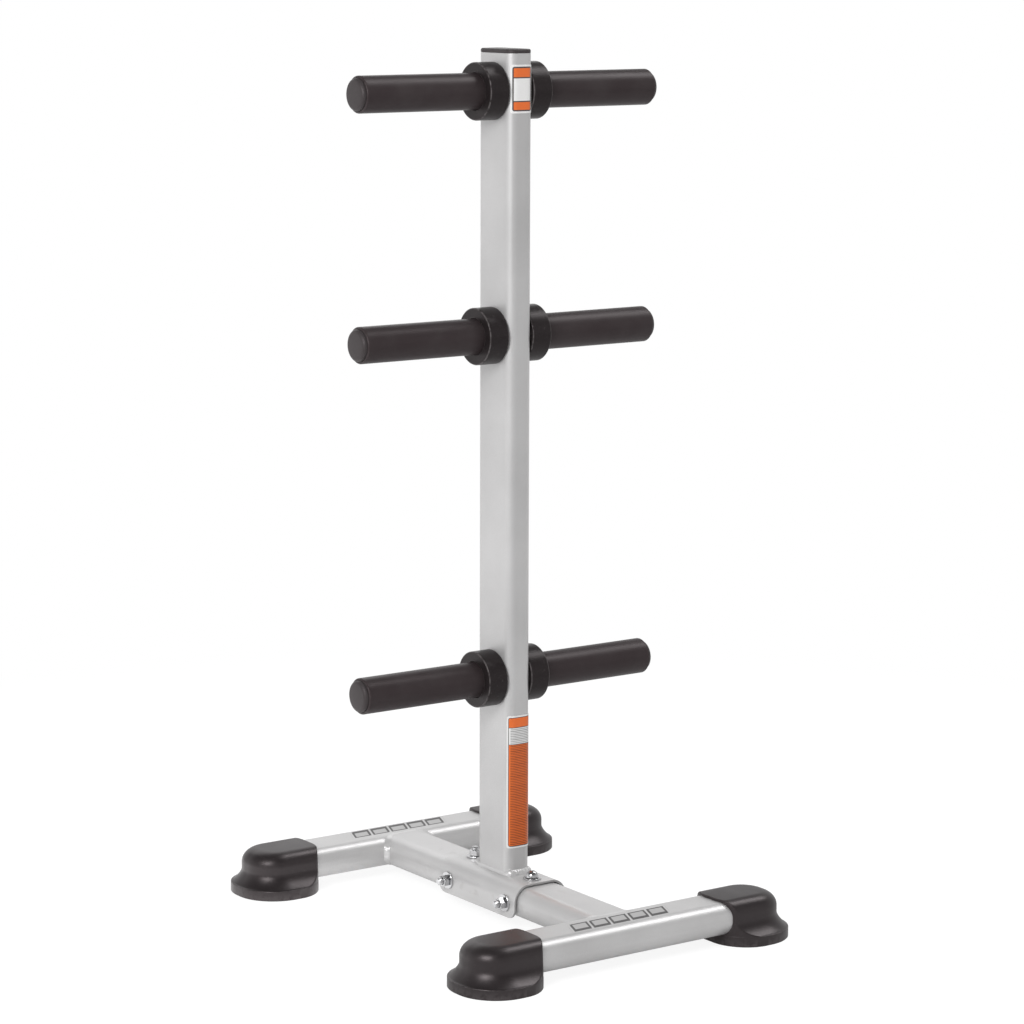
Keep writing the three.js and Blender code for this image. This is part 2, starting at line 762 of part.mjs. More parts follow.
// Bolts across the base: the domed head is on the right, the nut on the left.
function addSideBolts() {
  const seat = saddleHalfWidth + SEAT_GAP;
  const clamp = seat + WASHER_THICKNESS + SEAT_GAP;
  const tip = clamp + NUT_HEIGHT + SIDE_BOLT_STAND;
  for (const [place, end] of [["front", -1], ["rear", 1]]) {
    const row = new THREE.Group();
    row.position.set(0, end * sideBoltSpread + SADDLE_SHIFT, SIDE_BOLT_HEIGHT);
    row.rotation.y = Math.PI / 2;
    tree.add(row);
    add(`${place}_side_bolt`, domedBolt(clamp, -tip), materials.chrome, row);
    add(`${place}_side_head_washer`, washer(), materials.chrome, row).position.z = seat;
    const under = add(`${place}_side_nut_washer`, washer(), materials.chrome, row);
    under.position.z = -seat - WASHER_THICKNESS;
    add(`${place}_side_nut`, nut(NUT_HEIGHT), materials.chrome, row).position.z = -clamp - NUT_HEIGHT;
  }
}

// Short bolts through the top walls: a domed head at the front, a nut at the rear.
function addTopBolts() {
  const ceiling = baseTop - BASE_WALL - SEAT_GAP;
  const seat = saddleTop + SEAT_GAP;
  const clamp = seat + WASHER_THICKNESS + SEAT_GAP;
  const front = new THREE.Group();
  front.position.set(0, -topBoltSpread, 0);
  const rear = new THREE.Group();
  rear.position.set(0, topBoltSpread, 0);
  tree.add(front, rear);
  const inside = ceiling - INNER_NUT_HEIGHT;
  add("front_top_bolt", domedBolt(clamp, inside), materials.chrome, front);
  add("front_top_nut", nut(INNER_NUT_HEIGHT), materials.chrome, front).position.z = inside;
  add("front_top_washer", washer(), materials.chrome, front).position.z = seat;
  const tip = clamp + NUT_HEIGHT + TOP_BOLT_STAND;
  add("rear_top_bolt", studBolt(ceiling, tip), materials.chrome, rear);
  add("rear_top_nut", nut(NUT_HEIGHT), materials.chrome, rear).position.z = clamp;
  add("rear_top_washer", washer(), materials.chrome, rear).position.z = seat;
}

addUpright();
addBase();
addPegs();
addSideBolts();
addTopBolts();

export default tree;
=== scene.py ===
"""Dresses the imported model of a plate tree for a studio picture.

Everything is drawn in millimetres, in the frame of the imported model, and turned to
metres when a piece is finished. A class stands for each sub-assembly of the stand,
and a frozen dataclass for each of its finishes.
"""

import logging
import math
from collections.abc import Callable, Sequence
from dataclasses import dataclass
from enum import Enum

import bmesh
import bpy
from mathutils import Matrix, Vector


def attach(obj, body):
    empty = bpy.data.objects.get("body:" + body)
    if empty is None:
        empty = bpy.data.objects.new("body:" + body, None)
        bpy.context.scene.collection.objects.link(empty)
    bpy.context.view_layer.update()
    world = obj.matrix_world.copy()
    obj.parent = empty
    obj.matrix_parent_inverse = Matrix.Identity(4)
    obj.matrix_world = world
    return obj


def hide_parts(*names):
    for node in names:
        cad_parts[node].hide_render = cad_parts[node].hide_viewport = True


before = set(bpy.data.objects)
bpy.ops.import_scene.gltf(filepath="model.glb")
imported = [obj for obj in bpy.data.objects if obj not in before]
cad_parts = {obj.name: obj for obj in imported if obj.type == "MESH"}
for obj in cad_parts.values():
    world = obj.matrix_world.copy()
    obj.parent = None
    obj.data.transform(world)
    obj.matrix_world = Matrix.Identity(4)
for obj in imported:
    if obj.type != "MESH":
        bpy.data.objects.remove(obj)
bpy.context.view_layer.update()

log = logging.getLogger("plate_tree")

Colour = tuple[float, float, float]
Point = tuple[float, float, float]
Flat = tuple[float, float]
Settings = dict[str, object]
Inputs = dict[str | int, object]

MILLIMETRE = 0.001
RIGHT_ANGLE = math.pi / 2
BODY = "root"
SEAT_GAP = 0.3
CUT_OVERRUN = 5.0
CUTTER_SIDES = 32
TUBE_ARRIS = 0.35
TUBE_ARRIS_SHARE = 0.3
CRISP_ANGLE = 32.0
SMOOTH_ANGLE = 70.0
SOCKET_ANGLE = 40.0
WARM_SHINE = (1.0, 0.9, 0.92, 1.0)
BLACK = (0.0, 0.0, 0.0)
WHITE = (1.0, 1.0, 1.0)


class Half(Enum):
    """A half of the stand, told by the sign of its axis."""

    def __init__(self, label: str, sign: int) -> None:
        """Keeps the word in the pieces' names and the sign."""
        self.label = label
        self.sign = sign


class End(Half):
    """The two ends of the base, along Y."""

    FRONT = ("front", -1)
    REAR = ("rear", 1)

    def pick(self, pair: tuple[float, float]) -> float:
        """The end's own of two numbers, of which the front's comes first."""
        return pair[self is End.REAR]


class Side(Half):
    """The two sides of the stand, along X."""

    LEFT = ("left", -1)
    RIGHT = ("right", 1)


class Level(Enum):
    """The three levels of pegs."""

    TOP = ("top", 1114.3)
    MIDDLE = ("middle", 792.8)
    BOTTOM = ("bottom", 329.8)

    def __init__(self, label: str, height: float) -> None:
        """Keeps the word in the pieces' names and the height of the pegs' axes."""
        self.label = label
        self.height = height


class Slot(Enum):
    """The record's material slots."""

    FRAME = "frame_paint"
    WELD = "weld_paint"
    PEG = "peg_paint"
    PEG_WELD = "peg_weld_paint"
    COLLAR = "collar_plastic"
    PLASTIC = "black_plastic"
    RUBBER = "foot_rubber"
    CHROME = "chrome_plate"
    STICKER = "sticker_film"


class Term:
    """One socket of a node tree, with the arithmetic that a formula needs."""

    def __init__(self, board: "Board", socket: bpy.types.NodeSocket) -> None:
        """Keeps the socket and the board that its tree is on."""
        self.board = board
        self.socket = socket

    def math(self, operation: str, *operands: "Term | float") -> "Term":
        """Adds one Math node on the operands and gives its result."""
        inputs = dict(enumerate(operands))
        return self.board.term("ShaderNodeMath", {"operation": operation}, inputs)

    def __add__(self, other: "Term | float") -> "Term":
        """The sum of two values."""
        return self.math("ADD", self, other)

    __radd__ = __add__

    def __sub__(self, other: "Term | float") -> "Term":
        """This value less another."""
        return self.math("SUBTRACT", self, other)

    def __rsub__(self, other: "Term | float") -> "Term":
        """Another value less this one."""
        return self.math("SUBTRACT", other, self)

    def __mul__(self, other: "Term | float") -> "Term":
        """The product of two values."""
        return self.math("MULTIPLY", self, other)

    __rmul__ = __mul__

    def __truediv__(self, other: "Term | float") -> "Term":
        """This value over another."""
        return self.math("DIVIDE", self, other)

    def __rtruediv__(self, other: "Term | float") -> "Term":
        """Another value over this one."""
        return self.math("DIVIDE", other, self)

    def __pow__(self, other: "Term | float") -> "Term":
        """This value to a power."""
        return self.math("POWER", self, other)

    def __abs__(self) -> "Term":
        """The value without its sign."""
        return self.math("ABSOLUTE", self)

    def floor(self) -> "Term":
        """The whole number below."""
        return self.math("FLOOR", self)

    def part(self) -> "Term":
        """What is left over the whole number below."""
        return self.math("FRACT", self)

    def most(self, other: "Term | float") -> "Term":
        """The larger of two values."""
        return self.math("MAXIMUM", self, other)

    def above(self, limit: "Term | float", blur: float) -> "Term":
        """A soft step.

        Args:
            limit: the value at the middle of the step.
            blur: how far the step reaches to both sides of it.

        Returns:
            0 below the step and 1 above it.
        """
        inputs = {0: self, 1: limit - blur, 2: limit + blur, 3: 0.0, 4: 1.0}
        return self.board.term("ShaderNodeMapRange", {"interpolation_type": "SMOOTHSTEP"}, inputs)

    def below(self, limit: "Term | float", blur: float) -> "Term":
        """The soft step turned over."""
        return 1 - self.above(limit, blur)

    def between(self, low: float, high: float, blur: float) -> "Term":
        """1 from one limit to the other and 0 outside them."""
        return self.above(low, blur) * self.below(high, blur)


class Board:
    """Puts nodes on a tree, for a finish or for a shape that follows a rule."""

    def __init__(self, tree: bpy.types.NodeTree) -> None:
        """Keeps the tree."""
        self.tree = tree

    def add(
        self, kind: str, settings: Settings | None = None, inputs: Inputs | None = None
    ) -> bpy.types.Node:
        """Adds one node.

        Args:
            kind: the node's type.
            settings: its properties, set before anything is linked.
            inputs: numbers, colours or terms for its sockets, by name or place.

        Returns:
            The node.
        """
        node = self.tree.nodes.new(kind)
        for name, value in (settings or {}).items():
            setattr(node, name, value)
        for key, value in (inputs or {}).items():
            if isinstance(value, Term):
                self.tree.links.new(value.socket, node.inputs[key])
            else:
                node.inputs[key].default_value = value
        return node

    def term(
        self,
        kind: str,
        settings: Settings | None = None,
        inputs: Inputs | None = None,
        output: str | int = 0,
    ) -> Term:
        """Adds one node and gives one of its outputs as a term."""
        return Term(self, self.add(kind, settings, inputs).outputs[output])

    def mix(self, share: "Term | float", low: "Term | Colour", high: "Term | Colour") -> Term:
        """Mixes two colours.

        Args:
            share: how much of the second colour shows.
            low: the first colour.
            high: the second colour.

        Returns:
            The mixed colour.
        """
        first, second = ((*c, 1.0) if isinstance(c, tuple) else c for c in (low, high))
        settings = {"data_type": "RGBA", "clamp_factor": True}
        return self.term("ShaderNodeMix", settings, {0: share, 6: first, 7: second}, 2)

    def place(self) -> Term:
        """The place on the piece, in metres."""
        return self.term("ShaderNodeTexCoord", output="Object")

    def axes(self, vector: Term) -> tuple[Term, Term, Term]:
        """The three numbers of a vector."""
        node = self.add("ShaderNodeSeparateXYZ", inputs={0: vector})
        return tuple(Term(self, output) for output in node.outputs)

    def noise(self, scale: float, detail: float) -> Term:
        """Smooth noise round one half, at the place on the piece.

        Args:
            scale: lumps in a metre.
            detail: finer layers on top of the first.

        Returns:
            The noise, from 0 to 1.
        """
        inputs = {"Vector": self.place(), "Scale": scale, "Detail": detail}
        return self.term("ShaderNodeTexNoise", {"noise_dimensions": "3D"}, inputs)

    def chance(self, step: Term) -> Term:
        """A number from 0 to 1 that a step alone decides."""
        settings = {"noise_dimensions": "1D"}
        return self.term("ShaderNodeTexWhiteNoise", settings, {"W": step}, "Value")

    def edge(self) -> Term:
        """The mask of a piece's arrises, from 0 to 1."""
        return self.term("ShaderNodeAttribute", {"attribute_name": "edge"}, output="Fac")

    def bump(self, height: Term, depth: float) -> Term:
        """The normal of a height, of which 1 stands for a depth in millimetres."""
        inputs = {"Height": height, "Distance": depth * MILLIMETRE}
        return self.term("ShaderNodeBump", inputs=inputs)

    def rays(self) -> tuple[Term, Term]:
        """Tells rays apart.

        Returns:
            Whether a ray comes straight from the camera, and whether it was mirrored
            or let through on its way.
        """
        path = self.add("ShaderNodeLightPath")
        kinds = ("Camera", "Glossy", "Transmission")
        camera, glossy, through = (Term(self, path.outputs[f"Is {kind} Ray"]) for kind in kinds)
        return camera, glossy.most(through)


Look = tuple[Term, Term, Term]


def shade(colour: Colour, share: float) -> Colour:
    """A share of a colour."""
    return tuple(part * share for part in colour)


@dataclass(frozen=True)
class Finish:
    """What every finish has in common.

    Colours are linear. In every finish a scale is a number of lumps in a metre, a
    step is its middle and its reach to both sides, and a share says how much of
    something shows.
    """

    name: str
    colour: Colour
    roughness: float
    slot: Slot

    def material(self) -> bpy.types.Material:
        """Makes the material once and gives the same one after that.

        Returns:
            The material.
        """
        known = bpy.data.materials.get(self.name)
        if known is not None:
            return known
        made = bpy.data.materials.new(self.name)
        made.use_nodes = True
        sockets = made.node_tree.nodes["Principled BSDF"].inputs
        look = self.paint(Board(made.node_tree))
        for name, term in zip(("Base Color", "Roughness", "Normal"), look):
            made.node_tree.links.new(term.socket, sockets[name])
        for name, value in self.fixed().items():
            sockets[name].default_value = value
        return made

    def paint(self, board: Board) -> Look:
        """Draws what changes over the surface.

        Args:
            board: the material's board.

        Returns:
            The colour, the roughness and the normal.
        """
        raise NotImplementedError

    def fixed(self) -> dict[str, object]:
        """What is the same all over the surface, by the shader's socket."""
        return {}


@dataclass(frozen=True)
class PowderCoat(Finish):
    """A fine metallic powder coat with a light orange peel."""

    metallic: float = 0.45
    flake: float = 0.05
    peel: float = 0.02
    worn: Colour = (0.5, 0.49, 0.48)
    glint: Colour = (0.95, 0.95, 0.96)
    dark_share: float = 0.9
    light_share: float = 1.06
    pit_share: float = 0.6
    drift_scale: float = 7.0
    flake_scale: float = 2600.0
    rub_scale: float = 90.0
    peel_scale: float = 420.0
    drift_step: Flat = (0.5, 0.25)
    flake_step: Flat = (0.62, 0.06)
    rub_step: Flat = (0.6, 0.08)
    spark_gain: float = 4.0
    rub_share: float = 0.35
    peel_share: float = 0.7
    rough_shares: Point = (0.08, 0.12, 0.2)

    def paint(self, board: Board) -> Look:
        """Lays flakes with painted glints, a slow drift of tone and rubbed arrises over the paint.

        Args:
            board: the material's board.

        Returns:
            The colour, the roughness and the normal.
        """
        drift = board.noise(self.drift_scale, detail=3.0)
        flakes = board.noise(self.flake_scale, detail=1.0)
        dark, light = shade(self.colour, self.dark_share), shade(self.colour, self.light_share)
        tone = board.mix(drift.above(*self.drift_step), dark, light)
        middle, blur = self.flake_step
        # The brighter flakes are painted glints; the darker ones are pits in the coat.
        spark = (flakes.above(middle, blur) - flakes.below(1 - middle, blur)) * self.flake
        bright = board.mix(spark.most(0.0) * self.spark_gain, tone, self.glint)
        pits = (spark * -self.spark_gain).most(0.0)
        grain = board.mix(pits, bright, shade(self.colour, self.pit_share))
        arris_tone = board.edge() * board.noise(self.rub_scale, detail=3.0).above(*self.rub_step)
        arris_tone = arris_tone * self.rub_share
        by_drift, by_flakes, by_rub = self.rough_shares
        rough = self.roughness + (drift - 0.5) * by_drift + (flakes - 0.5) * by_flakes
        rough = rough + arris_tone * by_rub
        colour, rough = self.dress(board, board.mix(arris_tone, grain, self.worn), rough)
        peel = board.noise(self.peel_scale, detail=2.0) * self.peel_share
        return colour, rough, board.bump(peel + flakes * (1 - self.peel_share), self.peel)

    def dress(self, board: Board, colour: Term, rough: Term) -> tuple[Term, Term]:
        """Adds what only some of the painted pieces carry.

        Args:
            board: the material's board, not used here.
            colour: the paint's colour.
            rough: the paint's roughness.

        Returns:
            The colour and the roughness of the dressed paint.
        """
        return colour, rough

    def fixed(self) -> dict[str, object]:
        """How far the flakes make the coat a metal."""
        return {"Metallic": self.metallic}


@dataclass(frozen=True)
class EndShadedCoat(PowderCoat):
    """The coat of a bent plate, rougher on its cut end faces, which carry painted shade."""

    start: float = 0.0
    end: float = 0.0
    bottom: float = 0.0
    nose: float = 0.0
    cut_depth: float = 0.45
    cut_blur: float = 0.25
    end_shade_share: float = 0.62
    cut_rough: float = 0.1

    def dress(self, board: Board, colour: Term, rough: Term) -> tuple[Term, Term]:
        """Paints shade on the end faces, which run back round the rounded lower corners.

        Args:
            board: the material's board.
            colour: the paint's colour.
            rough: the paint's roughness.

        Returns:
            The colour and the roughness, with painted shade on the cut faces.
        """
        _, y, z = board.axes(board.place())
        past = (self.bottom + self.nose - z / MILLIMETRE).most(0.0)
        pull = self.nose - (self.nose**2 - past * past).most(0.0) ** 0.5
        along = y / MILLIMETRE
        near = along.below(pull + self.start + self.cut_depth, self.cut_blur)
        far = (along * -1).below(pull - self.end + self.cut_depth, self.cut_blur)
        cut = near.most(far)
        # Painted shade: the cut end faces take a darker share of the paint.
        grey = shade(self.colour, self.end_shade_share)
        return board.mix(cut, colour, grey), rough + cut * self.cut_rough


@dataclass(frozen=True)
class PrintedCoat(PowderCoat):
    """The coat of a foot tube, with a row of slanted bars printed on its top.

    The bars are placed in millimetres: outwards from the tube's axis, and along it
    as the row is read from the stand's outside.
    """

    axis: float = 269.0
    lowest: float = 56.4
    shift_out: float = 1.0
    shift_along: float = 6.0
    shade_out: float = 5.0
    shade_along: float = 2.5
    slant: float = 0.4
    pitch: float = 31.0
    bar_half_length: float = 10.5
    bar_half_width: float = 9.0
    row_half_length: float = 76.0
    keyline: float = 3.2
    blur: float = 0.3
    top_blur: float = 0.2
    ink: Colour = (0.08, 0.077, 0.078)
    fill_share: float = 0.85
    ink_rough: float = 0.05

    def dress(self, board: Board, colour: Term, rough: Term) -> tuple[Term, Term]:
        """Prints the bars with their shades and keylines.

        Args:
            board: the material's board.
            colour: the paint's colour.
            rough: the paint's roughness.

        Returns:
            The colour and the roughness, bars and all.
        """
        x, y, z = board.axes(board.place())
        out = abs(y) / MILLIMETRE - (self.axis + self.shift_out)
        along = x * (y.below(0.0, MILLIMETRE) * 2 - 1) / MILLIMETRE + self.shift_along
        top = z.above(self.lowest * MILLIMETRE, self.top_blur * MILLIMETRE)
        face = self.bars(along, out)
        lower = self.bars(along + self.shade_along, out - self.shade_out)
        ink = face.below(self.keyline, self.blur).most(lower.below(self.keyline, self.blur)) * top
        fill = face.below(0.0, self.blur) * top
        inked = board.mix(ink, colour, self.ink)
        filled = board.mix(fill, inked, shade(self.colour, self.fill_share))
        return filled, rough + (ink + fill) * self.ink_rough

    def bars(self, along: Term, out: Term) -> Term:
        """Measures how far a place lies outside the row of bars.

        Args:
            along: its place along the row, from the middle.
            out: its place across the row, from the middle.

        Returns:
            The distance in millimetres, below zero inside a bar.
        """
        slanted = along + out * self.slant
        step = ((slanted / self.pitch + 0.5).part() - 0.5) * self.pitch
        bar = (abs(step) - self.bar_half_length).most(abs(out) - self.bar_half_width)
        return (abs(slanted) - self.row_half_length).most(bar)


@dataclass(frozen=True)
class BlackFinish(Finish):
    """What the two black finishes have in common."""

    shine: float = 0.28

    def fixed(self) -> dict[str, object]:
        """How strongly the surface mirrors, and in what tint."""
        return {"Specular IOR Level": self.shine, "Specular Tint": WARM_SHINE}


@dataclass(frozen=True)
class BlackCoat(BlackFinish):
    """A satin black coat over steel, dusted and rubbed a little, with a painted cloudy sheen."""

    grain: float = 0.012
    dusty_sheen: Colour = (0.075, 0.066, 0.067)
    cloud_scale: float = 24.0
    speck_scale: float = 1500.0
    grain_scale: float = 3200.0
    rub_scale: float = 140.0
    cloud_step: Flat = (0.56, 0.2)
    speck_step: Flat = (0.64, 0.05)
    rub_step: Flat = (0.55, 0.1)
    cloud_share: float = 0.22
    speck_share: float = 0.18
    rub_share: float = 0.5
    rough_shares: Flat = (0.14, 0.1)

    def paint(self, board: Board) -> Look:
        """Lays a painted cloudy sheen, fine speckle and rubbed arrises over the coat.

        Args:
            board: the material's board.

        Returns:
            The colour, the roughness and the normal.
        """
        clouds = board.noise(self.cloud_scale, detail=4.0)
        speck = board.noise(self.speck_scale, detail=2.0)
        fine = board.noise(self.grain_scale, detail=1.0)
        # Painted sheen: lighter clouds; the specks added to them are dust.
        dust_and_sheen = clouds.above(*self.cloud_step) * self.cloud_share
        dust_and_sheen = dust_and_sheen + speck.above(*self.speck_step) * self.speck_share
        arris_tone = board.edge() * board.noise(self.rub_scale, detail=3.0).above(*self.rub_step)
        colour = board.mix(dust_and_sheen + arris_tone * self.rub_share, self.colour, self.dusty_sheen)
        by_clouds, by_speck = self.rough_shares
        rough = self.roughness + (clouds - 0.5) * by_clouds + (speck - 0.5) * by_speck
        return colour, rough, board.bump((fine + speck) * 0.5, self.grain)


@dataclass(frozen=True)
class MouldedPlastic(BlackFinish):
    """A black moulded part with a fine eroded grain."""

    grain_scale: float = 1100.0
    grain: float = 0.03
    dusty_sheen: Colour = (0.07, 0.062, 0.063)
    arris_tone: float = 0.4
    shine: float = 0.38
    cloud_scale: float = 30.0
    scuff_scale: float = 260.0
    rub_scale: float = 160.0
    cloud_step: Flat = (0.5, 0.1)
    scuff_step: Flat = (0.66, 0.05)
    rub_step: Flat = (0.45, 0.15)
    grain_step: Flat = (0.6, 0.1)
    scuff_share: float = 0.2
    grain_share: float = 0.12
    rough_shares: Point = (0.1, 0.12, 0.06)

    def paint(self, board: Board) -> Look:
        """Lays an eroded grain, scuffs and pale arrises over the plastic; the pale arrises are
        rubbed wear with a painted highlight.

        Args:
            board: the material's board.

        Returns:
            The colour, the roughness and the normal.
        """
        clouds = board.noise(self.cloud_scale, detail=3.0)
        grain = board.noise(self.grain_scale, detail=3.0)
        scuffs = board.noise(self.scuff_scale, detail=4.0).above(*self.scuff_step)
        scuffs = scuffs * clouds.above(*self.cloud_step)
        # Pale arrises: rubbed wear with a painted highlight on rims and edges.
        arris_tone = board.edge() * board.noise(self.rub_scale, detail=2.0).above(*self.rub_step)
        arris_tone = arris_tone * self.arris_tone
        share = arris_tone + scuffs * self.scuff_share + grain.above(*self.grain_step) * self.grain_share
        by_clouds, by_grain, by_rub = self.rough_shares
        rough = self.roughness + (clouds - 0.5) * by_clouds + (grain - 0.5) * by_grain
        rough = rough - arris_tone * by_rub
        return board.mix(share, self.colour, self.dusty_sheen), rough, board.bump(grain, self.grain)


@dataclass(frozen=True)
class Plating(Finish):
    """Bright plating over turned steel."""

    stain: Colour = (0.42, 0.41, 0.4)
    grain: float = 0.006
    haze_scale: float = 500.0
    mark_scale: float = 2400.0
    haze_step: Flat = (0.6, 0.1)
    mark_step: Flat = (0.66, 0.05)
    dull_step: Flat = (0.5, 0.2)
    haze_share: float = 0.15
    mark_share: float = 0.3
    rough_shares: Flat = (0.08, 0.2)

    def paint(self, board: Board) -> Look:
        """Lays handling marks and a faint haze over the plating.

        Args:
            board: the material's board.

        Returns:
            The colour, the roughness and the normal.
        """
        haze = board.noise(self.haze_scale, detail=3.0)
        marks = board.noise(self.mark_scale, detail=2.0)
        share = marks.above(*self.mark_step) * self.mark_share
        share = share + haze.above(*self.haze_step) * self.haze_share
        by_haze, by_marks = self.rough_shares
        rough = self.roughness + haze.above(*self.dull_step) * by_haze + share * by_marks
        return board.mix(share, self.colour, self.stain), rough, board.bump(marks, self.grain)

    def fixed(self) -> dict[str, object]:
        """The plating is a metal."""
        return {"Metallic": 1.0}


@dataclass(frozen=True)
class Panel:
    """One printed field of a sticker, from one height to another.

    A field with a pitch carries ruled lines, as dark as its weight.
    """

    bottom: float
    top: float
    colour: Colour
    pitch: float = 0.0
    weight: float = 0.0


@dataclass(frozen=True)
class PrintedFilm(Finish):
    """A white film printed with plain fields inside a dark keyline."""

    width: float = 33.0
    height: float = 63.0
    border: float = 2.6
    radius: float = 3.0
    line: float = 1.6
    panels: tuple[Panel, ...] = ()
    blur: float = 0.15
    keyline: Colour = (0.035, 0.028, 0.028)
    keyline_share: float = 0.95
    soil: Colour = (0.25, 0.24, 0.23)
    soil_scale: float = 900.0
    soil_step: Flat = (0.62, 0.1)
    soil_share: float = 0.08
    rough_scale: float = 60.0
    rough_share: float = 0.12
    grain_scale: float = 350.0
    grain: float = 0.01
    dark_share: float = 0.12
    block_rows: float = 7.0
    line_shares: Point = (0.22, 0.72, 0.12)
    margins: Flat = (0.13, 0.87)
    ragged: Point = (0.97, 0.3, 0.12)
    ragged_step: Flat = (0.3, 0.05)
    faint: float = 0.25
    side_blur: float = 0.01
    shine: float = 0.35
    coat: float = 0.15
    coat_rough: float = 0.25

    def paint(self, board: Board) -> Look:
        """Prints the fields and the keyline in the film's own map.

        Args:
            board: the material's board.

        Returns:
            The colour, the roughness and the normal.
        """
        u, v, _ = board.axes(board.term("ShaderNodeUVMap", {"uv_map": "print"}))
        across = abs(u - 0.5) * self.width
        up = v * self.height
        half = abs(v - 0.5) * self.height
        inset = self.border + self.radius
        reach_x = (across - (self.width / 2 - inset)).most(0.0)
        reach_y = (half - (self.height / 2 - inset)).most(0.0)
        gap = (reach_x**2 + reach_y**2) ** 0.5 - self.radius
        framed = gap.below(0.0, self.blur) * self.keyline_share
        colour = board.mix(framed, self.colour, self.keyline)
        inside = gap.below(-self.line, self.blur)
        for panel in self.panels:
            shown = up.between(panel.bottom, panel.top, self.blur) * inside
            colour = board.mix(shown, colour, self.rule(board, panel, u, up))
        soil = board.noise(self.soil_scale, detail=2.0).above(*self.soil_step)
        colour = board.mix(soil * self.soil_share, colour, self.soil)
        sheen = board.noise(self.rough_scale, detail=2.0) - 0.5
        grain = board.noise(self.grain_scale, detail=1.0)
        return colour, self.roughness + sheen * self.rough_share, board.bump(grain, self.grain)

    def rule(self, board: Board, panel: Panel, u: Term, up: Term) -> Term | Colour:
        """Rules fine lines across a field, in blocks with ragged ends.

        Args:
            board: the material's board.
            panel: the field.
            u: the place across the film, from 0 to 1.
            up: the height on the film, in millimetres.

        Returns:
            The field's colour.
        """
        if not panel.pitch:
            return panel.colour
        row = (up / panel.pitch).floor()
        ragged = board.chance(row)
        block = board.chance((row / self.block_rows).floor())
        line = (up / panel.pitch).part().between(*self.line_shares)
        left, right = self.margins
        reach, by_row, by_block = self.ragged
        end = (u + ragged * by_row - block * by_block).below(reach, self.side_blur)
        start = u.above(left, self.side_blur) * (1 - self.faint + ragged * self.faint)
        full = end.most(ragged.above(*self.ragged_step))
        shown = start * full * u.below(right, self.side_blur)
        dark = shade(panel.colour, self.dark_share)
        return board.mix(line * shown * panel.weight, panel.colour, dark)

    def fixed(self) -> dict[str, object]:
        """How strongly the film mirrors, and its clear coat."""
        shares = (self.shine, self.coat, self.coat_rough)
        return dict(zip(("Specular IOR Level", "Coat Weight", "Coat Roughness"), shares))


SILVER = PowderCoat("silver_powder_coat", (0.61, 0.604, 0.604), 0.44, Slot.FRAME)
# Lighter copies of the upright's silver: painted light on the base, which sits darker near the
# floor, and painted highlights on the weld lumps.
LIT_BASE_SILVER = PowderCoat("silver_powder_coat_lit_base", (0.635, 0.628, 0.628), 0.41, Slot.FRAME)
LIT_PRINTED_SILVER = PrintedCoat("silver_powder_coat_lit_printed", (0.615, 0.608, 0.608), 0.39, Slot.FRAME)
LIT_BEAD_SILVER = PowderCoat(
    "silver_over_weld_lit", (0.68, 0.674, 0.674), 0.3, Slot.WELD, flake=0.03, peel=0.03
)
PEG_BLACK = BlackCoat("peg_black", (0.031, 0.0228, 0.0241), 0.42, Slot.PEG, shine=0.31)
BEAD_BLACK = BlackCoat("peg_weld_black", (0.023, 0.0168, 0.0178), 0.42, Slot.PEG_WELD, grain=0.03)
# The collar, plug and feet get strong pale arrises: rubbed wear with painted highlights.
COLLAR_BLACK = MouldedPlastic(
    "collar_black",
    (0.0145, 0.0114, 0.0119),
    0.36,
    Slot.COLLAR,
    dusty_sheen=(0.13, 0.12, 0.12),
    arris_tone=0.7,
    shine=0.26,
)
PLUG_BLACK = MouldedPlastic(
    "plug_black", (0.042, 0.0365, 0.0375), 0.47, Slot.PLASTIC, grain_scale=1600.0, arris_tone=0.6
)
FOOT_BLACK = MouldedPlastic(
    "foot_black", (0.0118, 0.0088, 0.0094), 0.38, Slot.RUBBER, grain=0.035, arris_tone=0.6, shine=0.64
)
BRIGHT = Plating("bright_plating", (0.6, 0.6, 0.61), 0.12, Slot.CHROME)

ORANGE = (0.82, 0.165, 0.03)
PAPER = (0.84, 0.835, 0.83)


